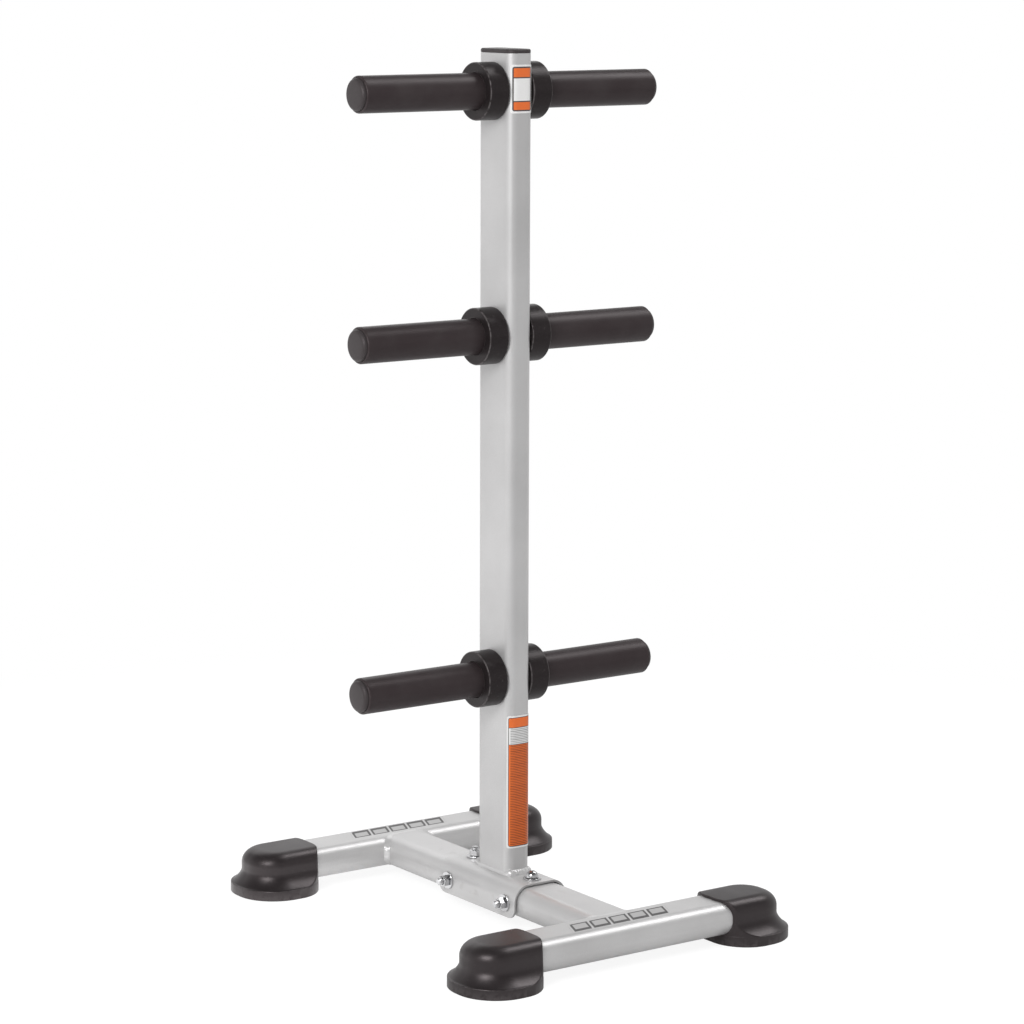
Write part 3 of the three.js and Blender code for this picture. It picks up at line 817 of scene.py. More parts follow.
@dataclass(frozen=True)
class Section:
    """The rounded rectangle that a tube is drawn to."""

    width: float
    depth: float
    corner: float
    steps: int = 14
    shoulder: float = 0.5

    def outline(self, offset: float = 0.0) -> list[Flat]:
        """Draws the section's outline, anticlockwise.

        Args:
            offset: how far outside the section it runs.

        Returns:
            Its points, with one on each flat just before and after a corner.
        """
        radius = self.corner + offset
        points: list[Flat] = []
        for turn, (across, up) in enumerate([(1, 1), (-1, 1), (-1, -1), (1, -1)]):
            start = turn * RIGHT_ANGLE
            x, y = self.width / 2 - self.corner, self.depth / 2 - self.corner
            centre = Vector((across * x, up * y))
            arc = []
            for i in range(self.steps + 1):
                angle = start + i / self.steps * RIGHT_ANGLE
                arc.append(centre + radius * Vector((math.cos(angle), math.sin(angle))))
            end = start + RIGHT_ANGLE
            entry = Vector((math.sin(start), -math.cos(start))) * self.shoulder
            leave = Vector((-math.sin(end), math.cos(end))) * self.shoulder
            points += [tuple(p) for p in (arc[0] + entry, *arc, arc[-1] + leave)]
        return points

    def ring(self, offset: float, height: float) -> list[Point]:
        """The outline at a height, as points in space."""
        return [(x, y, height) for x, y in self.outline(offset)]

    def track(self, pitch: float) -> list[tuple[Flat, Flat, float]]:
        """Stations at an even pitch along the outline.

        Args:
            pitch: about how far apart the stations are.

        Returns:
            The place, the outward direction and the distance run of each.
        """
        flats = (self.depth - 2 * self.corner, self.width - 2 * self.corner) * 2
        total = sum(flats) + 4 * self.corner * RIGHT_ANGLE
        count = round(total / pitch)
        runs = [i / count * total for i in range(count)]
        return [(*self._at(run, flats), run) for run in runs]

    def _at(self, run: float, flats: Sequence[float]) -> tuple[Flat, Flat]:
        """Finds a station on the outline.

        Args:
            run: its distance from the right flat's foot, anticlockwise.
            flats: the lengths of the four flats, from the right one on.

        Returns:
            Its place and its outward direction.
        """
        bend = self.corner * RIGHT_ANGLE
        for turn, flat in enumerate(flats):
            angle = turn * RIGHT_ANGLE
            out = Vector((math.cos(angle), math.sin(angle)))
            ahead = Vector((-math.sin(angle), math.cos(angle)))
            middle = out * (flats[turn - 1] / 2)
            if run <= flat:
                return tuple(middle + out * self.corner + ahead * (run - flat / 2)), tuple(out)
            run -= flat
            if run <= bend:
                swing = angle + run / self.corner
                away = Vector((math.cos(swing), math.sin(swing)))
                return tuple(middle + ahead * (flat / 2) + away * self.corner), tuple(away)
            run -= bend
        return self._at(0.0, flats)


def quarter(start: Flat, end: Flat, along_first: bool, steps: int) -> list[Flat]:
    """Points on a quarter turn of an ellipse.

    Args:
        start: the first pair of numbers.
        end: the last pair.
        along_first: whether the curve leaves its start along the first number.
        steps: how many strips it is drawn with.

    Returns:
        The points, with both ends.
    """
    points = []
    for i in range(steps + 1):
        angle = i / steps * RIGHT_ANGLE
        rise, run = math.sin(angle), 1 - math.cos(angle)
        first, second = (rise, run) if along_first else (run, rise)
        across, up = (end[0] - start[0]) * first, (end[1] - start[1]) * second
        points.append((start[0] + across, start[1] + up))
    return points


def ease(value: float, low: float, high: float) -> float:
    """A smooth step from 0 at the low limit to 1 at the high one."""
    share = min(1.0, max(0.0, (value - low) / (high - low)))
    return share * share * (3 - 2 * share)


def weigh(parts: Sequence[float], shares: Sequence[float]) -> float:
    """The sum of parts, each times its share."""
    return sum(part * share for part, share in zip(parts, shares))


def fall(radius: float, past: float) -> float:
    """How far a round corner has fallen back, so far past the flat before it."""
    return radius - math.sqrt(max(0.0, radius**2 - max(0.0, past) ** 2))


def lift(height: float) -> Matrix:
    """A move along Z."""
    return Matrix.Translation((0, 0, height))


def lay_along_x(height: float) -> Matrix:
    """Turns what stands on the Z axis along X, its depth standing up, at a height."""
    turn = Matrix.Rotation(-RIGHT_ANGLE, 4, "Z") @ Matrix.Rotation(-RIGHT_ANGLE, 4, "X")
    return lift(height) @ turn


def show(name: str, data: bpy.types.ID) -> bpy.types.Object:
    """Puts a mesh, a lamp or a camera in the scene.

    Args:
        name: the object's name.
        data: what the object shows.

    Returns:
        The object.
    """
    made = bpy.data.objects.new(name, data)
    bpy.context.scene.collection.objects.link(made)
    return made


class Piece:
    """A mesh on its way to becoming a finished piece of the stand."""

    same_place = 0.0005
    sharp_turn = 0.9
    shortest = 0.01
    bend_limits = (0.2, 0.7)

    def __init__(self, name: str) -> None:
        """Starts an empty mesh with the finished piece's name."""
        self.name = name
        self.mesh = bpy.data.meshes.new(name)
        self.uv_source: Callable[[Vector], Flat] | None = None

    @classmethod
    def lofted(
        cls,
        name: str,
        rings: Sequence[Sequence[Point]],
        looped: bool = False,
        marks: dict[str, Sequence[float]] | None = None,
    ) -> "Piece":
        """Joins rings of points into a closed skin.

        Args:
            name: the piece's name.
            rings: the rings, each with as many points.
            looped: whether the last ring runs back to the first. Else both ends are
                shut by a flat face.
            marks: named numbers for the points, ring after ring.

        Returns:
            The piece.
        """
        body = bmesh.new()
        marks = marks or {}
        for mark in marks:
            body.verts.layers.float.new(mark)
        rows = [[body.verts.new(p) for p in ring] for ring in rings]
        for mark, values in marks.items():
            layer = body.verts.layers.float[mark]
            for vertex, value in zip((v for row in rows for v in row), values):
                vertex[layer] = value
        count = len(rows[0])
        for r in range(len(rows) if looped else len(rows) - 1):
            low, high = rows[r], rows[(r + 1) % len(rows)]
            for i in range(count):
                j = (i + 1) % count
                body.faces.new((low[i], low[j], high[j], high[i]))
        if not looped:
            body.faces.new(rows[0][::-1])
            body.faces.new(rows[-1])
        return cls(name)._store(body)

    @classmethod
    def turned(cls, name: str, profile: Sequence[Flat], sides: int) -> "Piece":
        """Turns a profile about the Z axis.

        Args:
            name: the piece's name.
            profile: pairs of radius and height. It closes on itself, or on the axis.
            sides: how many sides the turning has.

        Returns:
            The piece.
        """
        body = bmesh.new()
        rows: list[list[bmesh.types.BMVert]] = []
        for radius, height in profile:
            ring = []
            for i in range(sides if radius else 1):
                angle = i / sides * math.tau
                place = (radius * math.cos(angle), radius * math.sin(angle), height)
                ring.append(body.verts.new(place))
            rows.append(ring)
        pairs = list(zip(rows, rows[1:]))
        if len(rows[0]) > 1:
            pairs.append((rows[-1], rows[0]))
        for low, high in pairs:
            for i in range(sides):
                j = (i + 1) % sides
                places = ((low, i), (low, j), (high, j), (high, i))
                face = list(dict.fromkeys(row[k % len(row)] for row, k in places))
                if len(face) > 2:
                    body.faces.new(face)
        return cls(name)._store(body)

    def _store(self, body: bmesh.types.BMesh) -> "Piece":
        """Keeps a closed mesh with its faces turned outwards.

        Args:
            body: the mesh, which is freed.

        Returns:
            The piece.
        """
        bmesh.ops.recalc_face_normals(body, faces=body.faces)
        body.to_mesh(self.mesh)
        body.free()
        return self

    def moved(self, matrix: Matrix) -> "Piece":
        """Moves or turns the piece.

        Args:
            matrix: the move, in millimetres.

        Returns:
            The piece.
        """
        self.mesh.transform(matrix)
        return self

    def cut(self, *tools: "Piece") -> "Piece":
        """Cuts other pieces from this one.

        Args:
            tools: the closed pieces that are taken away.

        Returns:
            The piece.
        """
        body = show(self.name, self.mesh)
        helpers = [show(tool.name, tool.mesh) for tool in tools]
        for helper in helpers:
            modifier = body.modifiers.new("cut", "BOOLEAN")
            modifier.operation = "DIFFERENCE"
            modifier.solver = "EXACT"
            modifier.object = helper
        self._settle(body)
        for helper, tool in zip(helpers, tools):
            bpy.data.objects.remove(helper)
            bpy.data.meshes.remove(tool.mesh)
        return self

    def grown(self, recipe: "Recipe", **values: float) -> "Piece":
        """Runs a geometry recipe on the piece.

        Args:
            recipe: the recipe.
            values: numbers for its named inputs.

        Returns:
            The piece.
        """
        body = show(self.name, self.mesh)
        modifier = body.modifiers.new(recipe.name, "NODES")
        modifier.node_group = recipe.tree
        for name, value in values.items():
            modifier[recipe.identifiers[name]] = value
        body.update_tag()
        self._settle(body)
        return self

    def _settle(self, body: bpy.types.Object) -> None:
        """Takes the evaluated shape as the piece's own.

        Args:
            body: the object with the modifiers, which is dropped.
        """
        bpy.context.view_layer.update()
        graph = bpy.context.evaluated_depsgraph_get()
        shape = bpy.data.meshes.new_from_object(body.evaluated_get(graph))
        body.modifiers.clear()
        bpy.data.objects.remove(body)
        bpy.data.meshes.remove(self.mesh)
        shape.name = self.name
        self.mesh = shape

    def finished(self, finish: Finish, angle: float = CRISP_ANGLE) -> None:
        """Gives the piece its finish and its place in the model.

        Args:
            finish: its finish.
            angle: arrises sharper than this many degrees stay crisp.
        """
        self._mark_edges()
        if self.uv_source is not None:
            self._map(self.uv_source)
        self.mesh.transform(Matrix.Scale(MILLIMETRE, 4))
        self.mesh.materials.clear()
        self.mesh.materials.append(finish.material())
        for polygon in self.mesh.polygons:
            polygon.material_index = 0
            polygon.use_smooth = True
        self.mesh.set_sharp_from_angle(angle=math.radians(angle))
        made = show(self.name, self.mesh)
        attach(made, BODY)
        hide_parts(self.name)
        log.info("%s: %d faces, %s", self.name, len(self.mesh.polygons), finish.name)

    def _mark_edges(self) -> None:
        """Writes how sharply each point stands out to the edge attribute."""
        body = bmesh.new()
        body.from_mesh(self.mesh)
        bmesh.ops.remove_doubles(body, verts=body.verts, dist=self.same_place)
        layer = body.verts.layers.float.new("edge")
        low, high = self.bend_limits
        for line in body.edges:
            if len(line.link_faces) != 2 or not line.is_convex:
                continue
            turn = line.calc_face_angle(0.0)
            first, second = (face.calc_center_median() for face in line.link_faces)
            bend = turn / max(self.shortest, (first - second).length)
            value = min(1.0, max(0.0, (bend - low) / (high - low)))
            if turn > self.sharp_turn:
                value = 1.0
            for vertex in line.verts:
                vertex[layer] = max(vertex[layer], value)
        body.to_mesh(self.mesh)
        body.free()

    def _map(self, source: Callable[[Vector], Flat]) -> None:
        """Writes the print map.

        Args:
            source: gives the place in the print of a point of the piece.
        """
        layer = self.mesh.uv_layers.new(name="print")
        for loop in self.mesh.loops:
            layer.data[loop.index].uv = source(self.mesh.vertices[loop.vertex_index].co)


class Recipe:
    """A geometry tree with named numbers, built once and run on many pieces."""

    def __init__(self, name: str, **inputs: float) -> None:
        """Starts the tree.

        Args:
            name: the tree's name.
            inputs: its named numbers and what they are unless a piece says otherwise.
        """
        self.name = name
        self.tree = bpy.data.node_groups.new(name, "GeometryNodeTree")
        face = self.tree.interface
        for way in ("INPUT", "OUTPUT"):
            face.new_socket("Geometry", in_out=way, socket_type="NodeSocketGeometry")
        self.identifiers: dict[str, str] = {}
        for label, value in inputs.items():
            item = face.new_socket(label, in_out="INPUT", socket_type="NodeSocketFloat")
            item.default_value = value
            self.identifiers[label] = item.identifier
        self.board = Board(self.tree)
        self._given = self.board.add("NodeGroupInput")

    def given(self, label: str) -> Term:
        """One of the recipe's inputs."""
        return Term(self.board, self._given.outputs[label])

    def mark(self, label: str) -> Term:
        """A number that the points of the piece carry."""
        settings = {"data_type": "FLOAT"}
        return self.board.term("GeometryNodeInputNamedAttribute", settings, {"Name": label})

    def close(self, shape: Term, finish: Finish) -> "Recipe":
        """Ends the tree with real geometry and its material.

        Args:
            shape: the geometry.
            finish: the finish that it gets.

        Returns:
            The recipe.
        """
        real = self.board.term("GeometryNodeRealizeInstances", inputs={0: shape})
        inputs = {"Geometry": real, "Material": finish.material()}
        painted = self.board.term("GeometryNodeSetMaterial", inputs=inputs)
        self.board.add("NodeGroupOutput", inputs={0: painted})
        return self


def weld_ripple() -> Recipe:
    """Pushes the face of a bead out in the overlapping ripples of a weld pass.

    Returns:
        The recipe. It reads the points' run along the seam, their place across the
        bead and how far they may swell.
    """
    roundness, least, spread, steps_per_seed, lump_scale = 0.65, 0.55, 0.9, 31, 0.16
    recipe = Recipe("weld_ripple", Pitch=3.2, Height=0.5, Lumps=0.5, Bow=1.1, Seed=1.0)
    board = recipe.board
    across = recipe.mark("across")
    phase = recipe.mark("along") / recipe.given("Pitch") + across * across * recipe.given("Bow")
    chance = board.chance(phase.floor() + recipe.given("Seed") * steps_per_seed)
    left = phase.part()
    crest = (left * (1 - left) * 4) ** roundness * (least + chance * spread)
    place = board.term("GeometryNodeInputPosition")
    inputs = {"Vector": place, "Scale": lump_scale, "Detail": 2.0, "W": recipe.given("Seed")}
    lumps = board.term("ShaderNodeTexNoise", {"noise_dimensions": "4D"}, inputs) - 0.5
    push = crest * recipe.given("Height") + lumps * 2 * recipe.given("Lumps")
    inputs = {0: board.term("GeometryNodeInputNormal"), "Scale": push * recipe.mark("swell")}
    shift = board.term("ShaderNodeVectorMath", {"operation": "SCALE"}, inputs)
    inputs = {"Geometry": recipe.given("Geometry"), "Offset": shift}
    return recipe.close(board.term("GeometryNodeSetPosition", inputs=inputs), LIT_BEAD_SILVER)


def bolt_thread() -> Recipe:
    """Winds a thread round the shank that it is run on.

    Returns:
        The recipe. The thread starts at a height and runs up the Z axis.
    """
    recipe = Recipe("bolt_thread", Radius=4.5, Depth=0.35, Pitch=1.5, Length=6.0, Start=0.0)
    board = recipe.board
    radius, length = recipe.given("Radius"), recipe.given("Length")
    inputs = {
        "Resolution": 40,
        "Rotations": length / recipe.given("Pitch"),
        "Start Radius": radius,
        "End Radius": radius,
        "Height": length,
    }
    helix = board.term("GeometryNodeCurveSpiral", inputs=inputs)
    inputs = {"Resolution": 4, "Radius": recipe.given("Depth")}
    ridge = board.term("GeometryNodeCurvePrimitiveCircle", {"mode": "RADIUS"}, inputs, "Curve")
    inputs = {"Curve": helix, "Profile Curve": ridge, "Fill Caps": True}
    thread = board.term("GeometryNodeCurveToMesh", inputs=inputs)
    start = board.term("ShaderNodeCombineXYZ", inputs={"Z": recipe.given("Start")})
    inputs = {"Geometry": thread, "Translation": start}
    seated = board.term("GeometryNodeTransform", inputs=inputs)
    joined = board.add("GeometryNodeJoinGeometry")
    for shape in (recipe.given("Geometry"), seated):
        board.tree.links.new(shape.socket, joined.inputs[0])
    return recipe.close(Term(board, joined.outputs[0]), BRIGHT)


def box_tube(name: str, section: Section, wall: float, low: float, high: float) -> Piece:
    """Draws a tube with both ends open and their outer arrises lightly broken.

    Args:
        name: the piece's name.
        section: its outside.
        wall: its wall.
        low: its lower end.
        high: its upper end.

    Returns:
        The piece, standing on the Z axis.
    """
    arris, middle = TUBE_ARRIS, TUBE_ARRIS * TUBE_ARRIS_SHARE
    steps = [(-wall, 0.0), (-arris, 0.0), (-middle, middle), (0.0, arris), (0.0, arris * 3)]
    rings = [section.ring(offset, low + rise) for offset, rise in steps]
    rings += [section.ring(offset, high - rise) for offset, rise in reversed(steps)]
    return Piece.lofted(name, rings, looped=True)


def rod(radius: float, low: float, high: float) -> Piece:
    """A plain round bar on the Z axis, for cutting with."""
    profile = [(0.0, low), (radius, low), (radius, high), (0.0, high)]
    return Piece.turned("tool", profile, CUTTER_SIDES)


@dataclass(frozen=True)
class Station:
    """One cross-section of a weld bead."""

    first_leg: Point
    second_leg: Point
    root: Point
    bulge: float
    along: float
    swell: float
    fullness: float = 0.6

    def ring(self, steps: int) -> list[Point]:
        """Draws the cross-section.

        Args:
            steps: how many strips the bead's face has.

        Returns:
            Its points: the root, then the face from leg to leg.
        """
        start, end, root = Vector(self.first_leg), Vector(self.second_leg), Vector(self.root)
        out = (start + end - 2 * root).normalized()
        face = []
        for i in range(steps + 1):
            share = i / steps
            face.append(start.lerp(end, share) + out * (self.bulge * math.sin(math.pi * share)))
        return [tuple(p) for p in (root, *face)]

    def marks(self, steps: int) -> dict[str, list[float]]:
        """Gives the numbers that the ripple recipe reads.

        Args:
            steps: how many strips the bead's face has.

        Returns:
            The numbers for each point of the ring, by their names.
        """
        shares = [i / steps for i in range(steps + 1)]
        rises = [math.sin(math.pi * share) ** self.fullness for share in shares]
        return {
            "along": [self.along] * (steps + 2),
            "across": [0.0, *(2 * share - 1 for share in shares)],
            "swell": [0.0, *(self.swell * rise for rise in rises)],
        }


def weld_bead(name: str, stations: Sequence[Station], steps: int = 9) -> Piece:
    """Lays a bead through its stations, round a closed seam.

    Args:
        name: the piece's name.
        stations: the cross-sections in order.
        steps: how many strips the face has.

    Returns:
        The piece, with the numbers that the ripple recipe reads.
    """
    rows = [station.marks(steps) for station in stations]
    marks = {label: [value for row in rows for value in row[label]] for label in rows[0]}
    return Piece.lofted(name, [s.ring(steps) for s in stations], looped=True, marks=marks)


@dataclass
class Saddle:
    """The channel that the upright is welded to and that holds both stubs."""

    half_width: float = 42.6
    top: float = 61.4
    bottom: float = 15.1
    corner: float = 24.0
    wall: float = 3.0
    start: float = -87.0
    end: float = 95.0
    nose: float = 15.0
    arris: float = 0.7
    inner_arris: float = 0.3
    shoulder: float = 0.5
    side_bolts: tuple[float, float] = (-63.5, 71.5)
    top_bolts: tuple[float, float] = (-67.5, 67.5)
    side_bolt_height: float = 34.1
    hole: float = 5.25
    hole_bottom: float = 35.0
    nose_steps: int = 10
    bend_steps: int = 16

    def build(self) -> None:
        """Makes the saddle, in a coat that knows where its cut ends are."""
        # A lighter copy of the silver, as painted light, with painted shade on its cut ends.
        coat = EndShadedCoat(
            "silver_powder_coat_lit_plate",
            (0.64, 0.633, 0.633),
            0.42,
            Slot.FRAME,
            start=self.start,
            end=self.end,
            bottom=self.bottom,
            nose=self.nose,
        )
        self.channel().cut(*self.holes(*End)).finished(coat)

    def height(self, across: float) -> float:
        """The height of the channel's top at a place across it."""
        return self.top - fall(self.corner, abs(across) - (self.half_width - self.corner))

    def side_row(self, end: End) -> Matrix:
        """Turns what stands on the Z axis along the side bolt of an end."""
        place = Matrix.Translation((0, end.pick(self.side_bolts), self.side_bolt_height))
        return place @ Matrix.Rotation(RIGHT_ANGLE, 4, "Y")

    def top_row(self, end: End) -> Matrix:
        """Moves what stands on the Z axis to the top bolt of an end."""
        return Matrix.Translation((0, end.pick(self.top_bolts), 0))

    def stations(self) -> list[tuple[float, float, float, float]]:
        """Walks round the channel's outside.

        Returns:
            The place across, the height and the outward direction of each station,
            from the left lower edge over the top to the right lower edge.
        """
        turns = [i / self.nose_steps * RIGHT_ANGLE for i in range(self.nose_steps + 1)]
        heights = [self.bottom + self.nose * (1 - math.cos(turn)) for turn in turns]
        knee = self.top - self.corner
        half = [(-self.half_width, z, -1.0, 0.0) for z in (*heights, knee - self.shoulder)]
        centre = self.corner - self.half_width
        for i in range(self.bend_steps + 1):
            angle = math.pi - i / self.bend_steps * RIGHT_ANGLE
            out_x, out_z = math.cos(angle), math.sin(angle)
            half.append((centre + self.corner * out_x, knee + self.corner * out_z, out_x, out_z))
        half.append((centre + self.shoulder, self.top, 0.0, 1.0))
        return half + [(-x, z, -out_x, out_z) for x, z, out_x, out_z in reversed(half)]

    def channel(self) -> Piece:
        """Bends the channel, with its lower corners rounded off and its arrises broken.

        Returns:
            The piece, without its holes.
        """
        rings = []
        for x, z, out_x, out_z in self.stations():
            pull = fall(self.nose, self.bottom + self.nose - z)
            rings.append(self.strip(x, z, (out_x, out_z), self.start + pull, self.end - pull))
        return Piece.lofted("saddle_bracket", rings)

    def strip(self, x: float, z: float, out: Flat, start: float, end: float) -> list[Point]:
        """Draws one cross-section of the plate, along the saddle.

        Args:
            x: the outside's place across.
            z: the outside's height.
            out: the outward direction there.
            start: where the plate begins, along Y.
            end: where it ends.

        Returns:
            The cross-section's points.
        """
        edge, wall, rim = self.arris, self.wall, self.wall - self.inner_arris
        curve = quarter((0.0, edge), (edge, 0.0), False, 3)
        near = [(depth, start + y) for y, depth in curve]
        far = [(depth, end - y) for y, depth in reversed(curve)]
        outside = [*near, (0.0, start + 3 * edge), (0.0, end - 3 * edge), *far]
        inside = [(rim, end), (wall, end - self.inner_arris)]
        inside += [(wall, start + self.inner_arris), (rim, start)]
        return [(x - out[0] * depth, y, z - out[1] * depth) for depth, y in outside + inside]

    def holes(self, *ends: End) -> list[Piece]:
        """Draws the tools that cut the bolt holes.

        Args:
            ends: the ends whose holes are wanted.

        Returns:
            The tools through the sides, and then the ones through the top.
        """
        reach = self.half_width + CUT_OVERRUN
        high = self.top + CUT_OVERRUN
        tools = [rod(self.hole, -reach, reach).moved(self.side_row(end)) for end in ends]
        tools += [rod(self.hole, self.hole_bottom, high).moved(self.top_row(end)) for end in ends]
        return tools


@dataclass
class Upright:
    """The upright with its plug, its weld and its two stickers."""

    ripple: Recipe
    saddle: Saddle
    section: Section = Section(38.1, 76.2, 12.0)
    wall: float = 2.5
    bottom: float = 61.7
    top: float = 1163.8
    plug_height: float = 5.4
    plug_edge: float = 2.4
    plug_skirt: float = 16.0
    plug_arris: float = 0.3
    plug_crown: tuple[Flat, ...] = ((1.5, 0.16), (5.0, 0.0))
    bead_leg: float = 5.5
    bead_rise: float = 7.6
    bead_sink: float = 0.15
    bead_pitch: float = 0.55
    bead_sway: Point = (0.05, 0.21, 0.083)
    flat_limits: Flat = (0.55, 0.95)
    reach_parts: Point = (0.93, -0.5, 0.2)
    bulge_parts: Point = (0.9, -1.2, 1.4)
    swell_parts: Point = (1.5, -1.42, 0.0)
    lower_film_gap: float = 37.4
    upper_film_gap: float = 14.5
    film: float = 0.35
    film_corner: float = 3.0
    film_strips: int = 24
    film_rows: int = 12
    corner_rows: int = 6

    def build(self) -> None:
        """Makes the upright's pieces."""
        box_tube("upright_tube", self.section, self.wall, self.bottom, self.top).finished(SILVER)
        self.plug().finished(PLUG_BLACK)
        bead = self.bead().grown(self.ripple, Pitch=4.2, Height=0.6, Lumps=0.6, Bow=0.8, Seed=3.0)
        bead.finished(LIT_BEAD_SILVER, SMOOTH_ANGLE)
        upper = PrintedFilm(
            "upper_film",
            PAPER,
            0.34,
            Slot.STICKER,
            width=35.1,
            height=63.0,
            line=1.9,
            panels=(Panel(0.0, 14.6, ORANGE), Panel(16.2, 45.3, PAPER), Panel(46.9, 63.0, ORANGE)),
        )
        lower = PrintedFilm(
            "lower_film",
            PAPER,
            0.34,
            Slot.STICKER,
            width=39.3,
            height=183.0,
            border=2.2,
            line=0.9,
            panels=(
                Panel(0.0, 143.0, ORANGE, pitch=2.3, weight=0.9),
                Panel(143.8, 166.4, PAPER, pitch=2.3, weight=0.8),
                Panel(167.2, 183.0, ORANGE),
            ),
        )
        high = self.top - self.upper_film_gap - upper.height
        low = self.saddle.top + self.lower_film_gap
        self.sticker("upper_sticker", high, upper, wrap=50.0).finished(upper)
        self.sticker("lower_sticker", low, lower, wrap=60.0).finished(lower)

    def plug(self) -> Piece:
        """Draws the plug that closes the tube's top, with a lid a little crowned.

        Returns:
            The piece.
        """
        skirt = -self.wall - SEAT_GAP
        seat = self.top + SEAT_GAP
        lid = seat + self.plug_height
        edge, arris = self.plug_edge, self.plug_arris
        steps = [(skirt, self.top - self.plug_skirt), (skirt, seat), (-arris, seat)]
        steps += [(0.0, seat + arris)]
        steps += quarter((0.0, lid - edge - arris), (-edge, lid - arris), False, 8)
        steps += [(-edge - inset, lid - drop) for inset, drop in self.plug_crown]
        return Piece.lofted("upright_cap", [self.section.ring(*step) for step in steps])

    def bead(self) -> Piece:
        """Draws the bead round the upright's foot, which lies on the saddle's bent top.

        Its parts are what it has all round, and what the broad sides and the corners
        add to that.

        Returns:
            The piece, without its ripples.
        """
        stations = []
        sway, first_rate, second_rate = self.bead_sway
        for (x, y), (out_x, out_y), along in self.section.track(self.bead_pitch):
            def at(out: float, up: float) -> Point:
                """A point at a distance out from the tube and up from the saddle."""
                across = x + out_x * out
                return across, y + out_y * out, self.saddle.height(across) + up

            shares = (1.0, ease(abs(out_x), *self.flat_limits), 4 * out_x**2 * out_y**2)
            reach = weigh(self.reach_parts, shares)
            reach += sway * math.sin(along * first_rate) * math.cos(along * second_rate)
            stations.append(
                Station(
                    first_leg=at(self.bead_leg * reach, -self.bead_sink),
                    second_leg=at(0.0, self.bead_rise * reach),
                    root=at(0.0, -self.bead_sink),
                    bulge=weigh(self.bulge_parts, shares),
                    along=along,
                    swell=weigh(self.swell_parts, shares),
                )
            )
        return weld_bead("upright_weld", stations)

    def sticker(self, name: str, bottom: float, film: PrintedFilm, wrap: float) -> Piece:
        """Wraps a film a little round both front corners.

        Args:
            name: the piece's name.
            bottom: its lower edge.
            film: its print, which says how tall it is.
            wrap: how far it runs round each corner, in degrees.

        Returns:
            The piece, with its print map.
        """
        flat = self.section.width / 2 - self.section.corner
        centre = self.section.corner - self.section.depth / 2
        inner = self.section.corner + SEAT_GAP
        half = flat + inner * math.radians(wrap)

        def at(run: float, radius: float) -> Flat:
            """Wraps the strip round the corners.

            Args:
                run: how far from the strip's middle.
                radius: the corners' radius at that depth of the film.

            Returns:
                The place across and along the stand.
            """
            swing = max(0.0, abs(run) - flat) / inner
            across = min(flat, abs(run)) + radius * math.sin(swing)
            return math.copysign(across, run), centre - radius * math.cos(swing)

        rings = []
        for height in self._film_heights(film.height):
            past = max(self.film_corner - height, height - (film.height - self.film_corner))
            reach = half - fall(self.film_corner, past)
            shares = [2 * i / self.film_strips - 1 for i in range(self.film_strips + 1)]
            runs = [reach * share for share in shares]
            front = [at(run, inner + self.film) for run in runs]
            back = [at(run, inner) for run in reversed(runs)]
            rings.append([(*place, bottom + height) for place in front + back])
        piece = Piece.lofted(name, rings)

        def mapped(point: Vector) -> Flat:
            """Reads the wrap backwards.

            Args:
                point: a point on the film.

            Returns:
                Its place in the print.
            """
            run = point.x
            if abs(run) > flat:
                swing = math.atan2(abs(run) - flat, centre - point.y)
                run = math.copysign(flat + swing * inner, run)
            return 0.5 + run / (2 * half), (point.z - bottom) / film.height

        piece.uv_source = mapped
        return piece

    def _film_heights(self, height: float) -> list[float]:
        """Places a film's rings, closer together at its rounded corners.

        Args:
            height: the film's height.

        Returns:
            The rings' heights over its lower edge.
        """
        corner, count, rows = self.film_corner, self.corner_rows, self.film_rows
        curve = [corner * (1 - math.cos(i / count * RIGHT_ANGLE)) for i in range(count + 1)]
        middle = [corner + (height - 2 * corner) * i / rows for i in range(1, rows)]
        return [*curve, *middle, *(height - rise for rise in reversed(curve))]


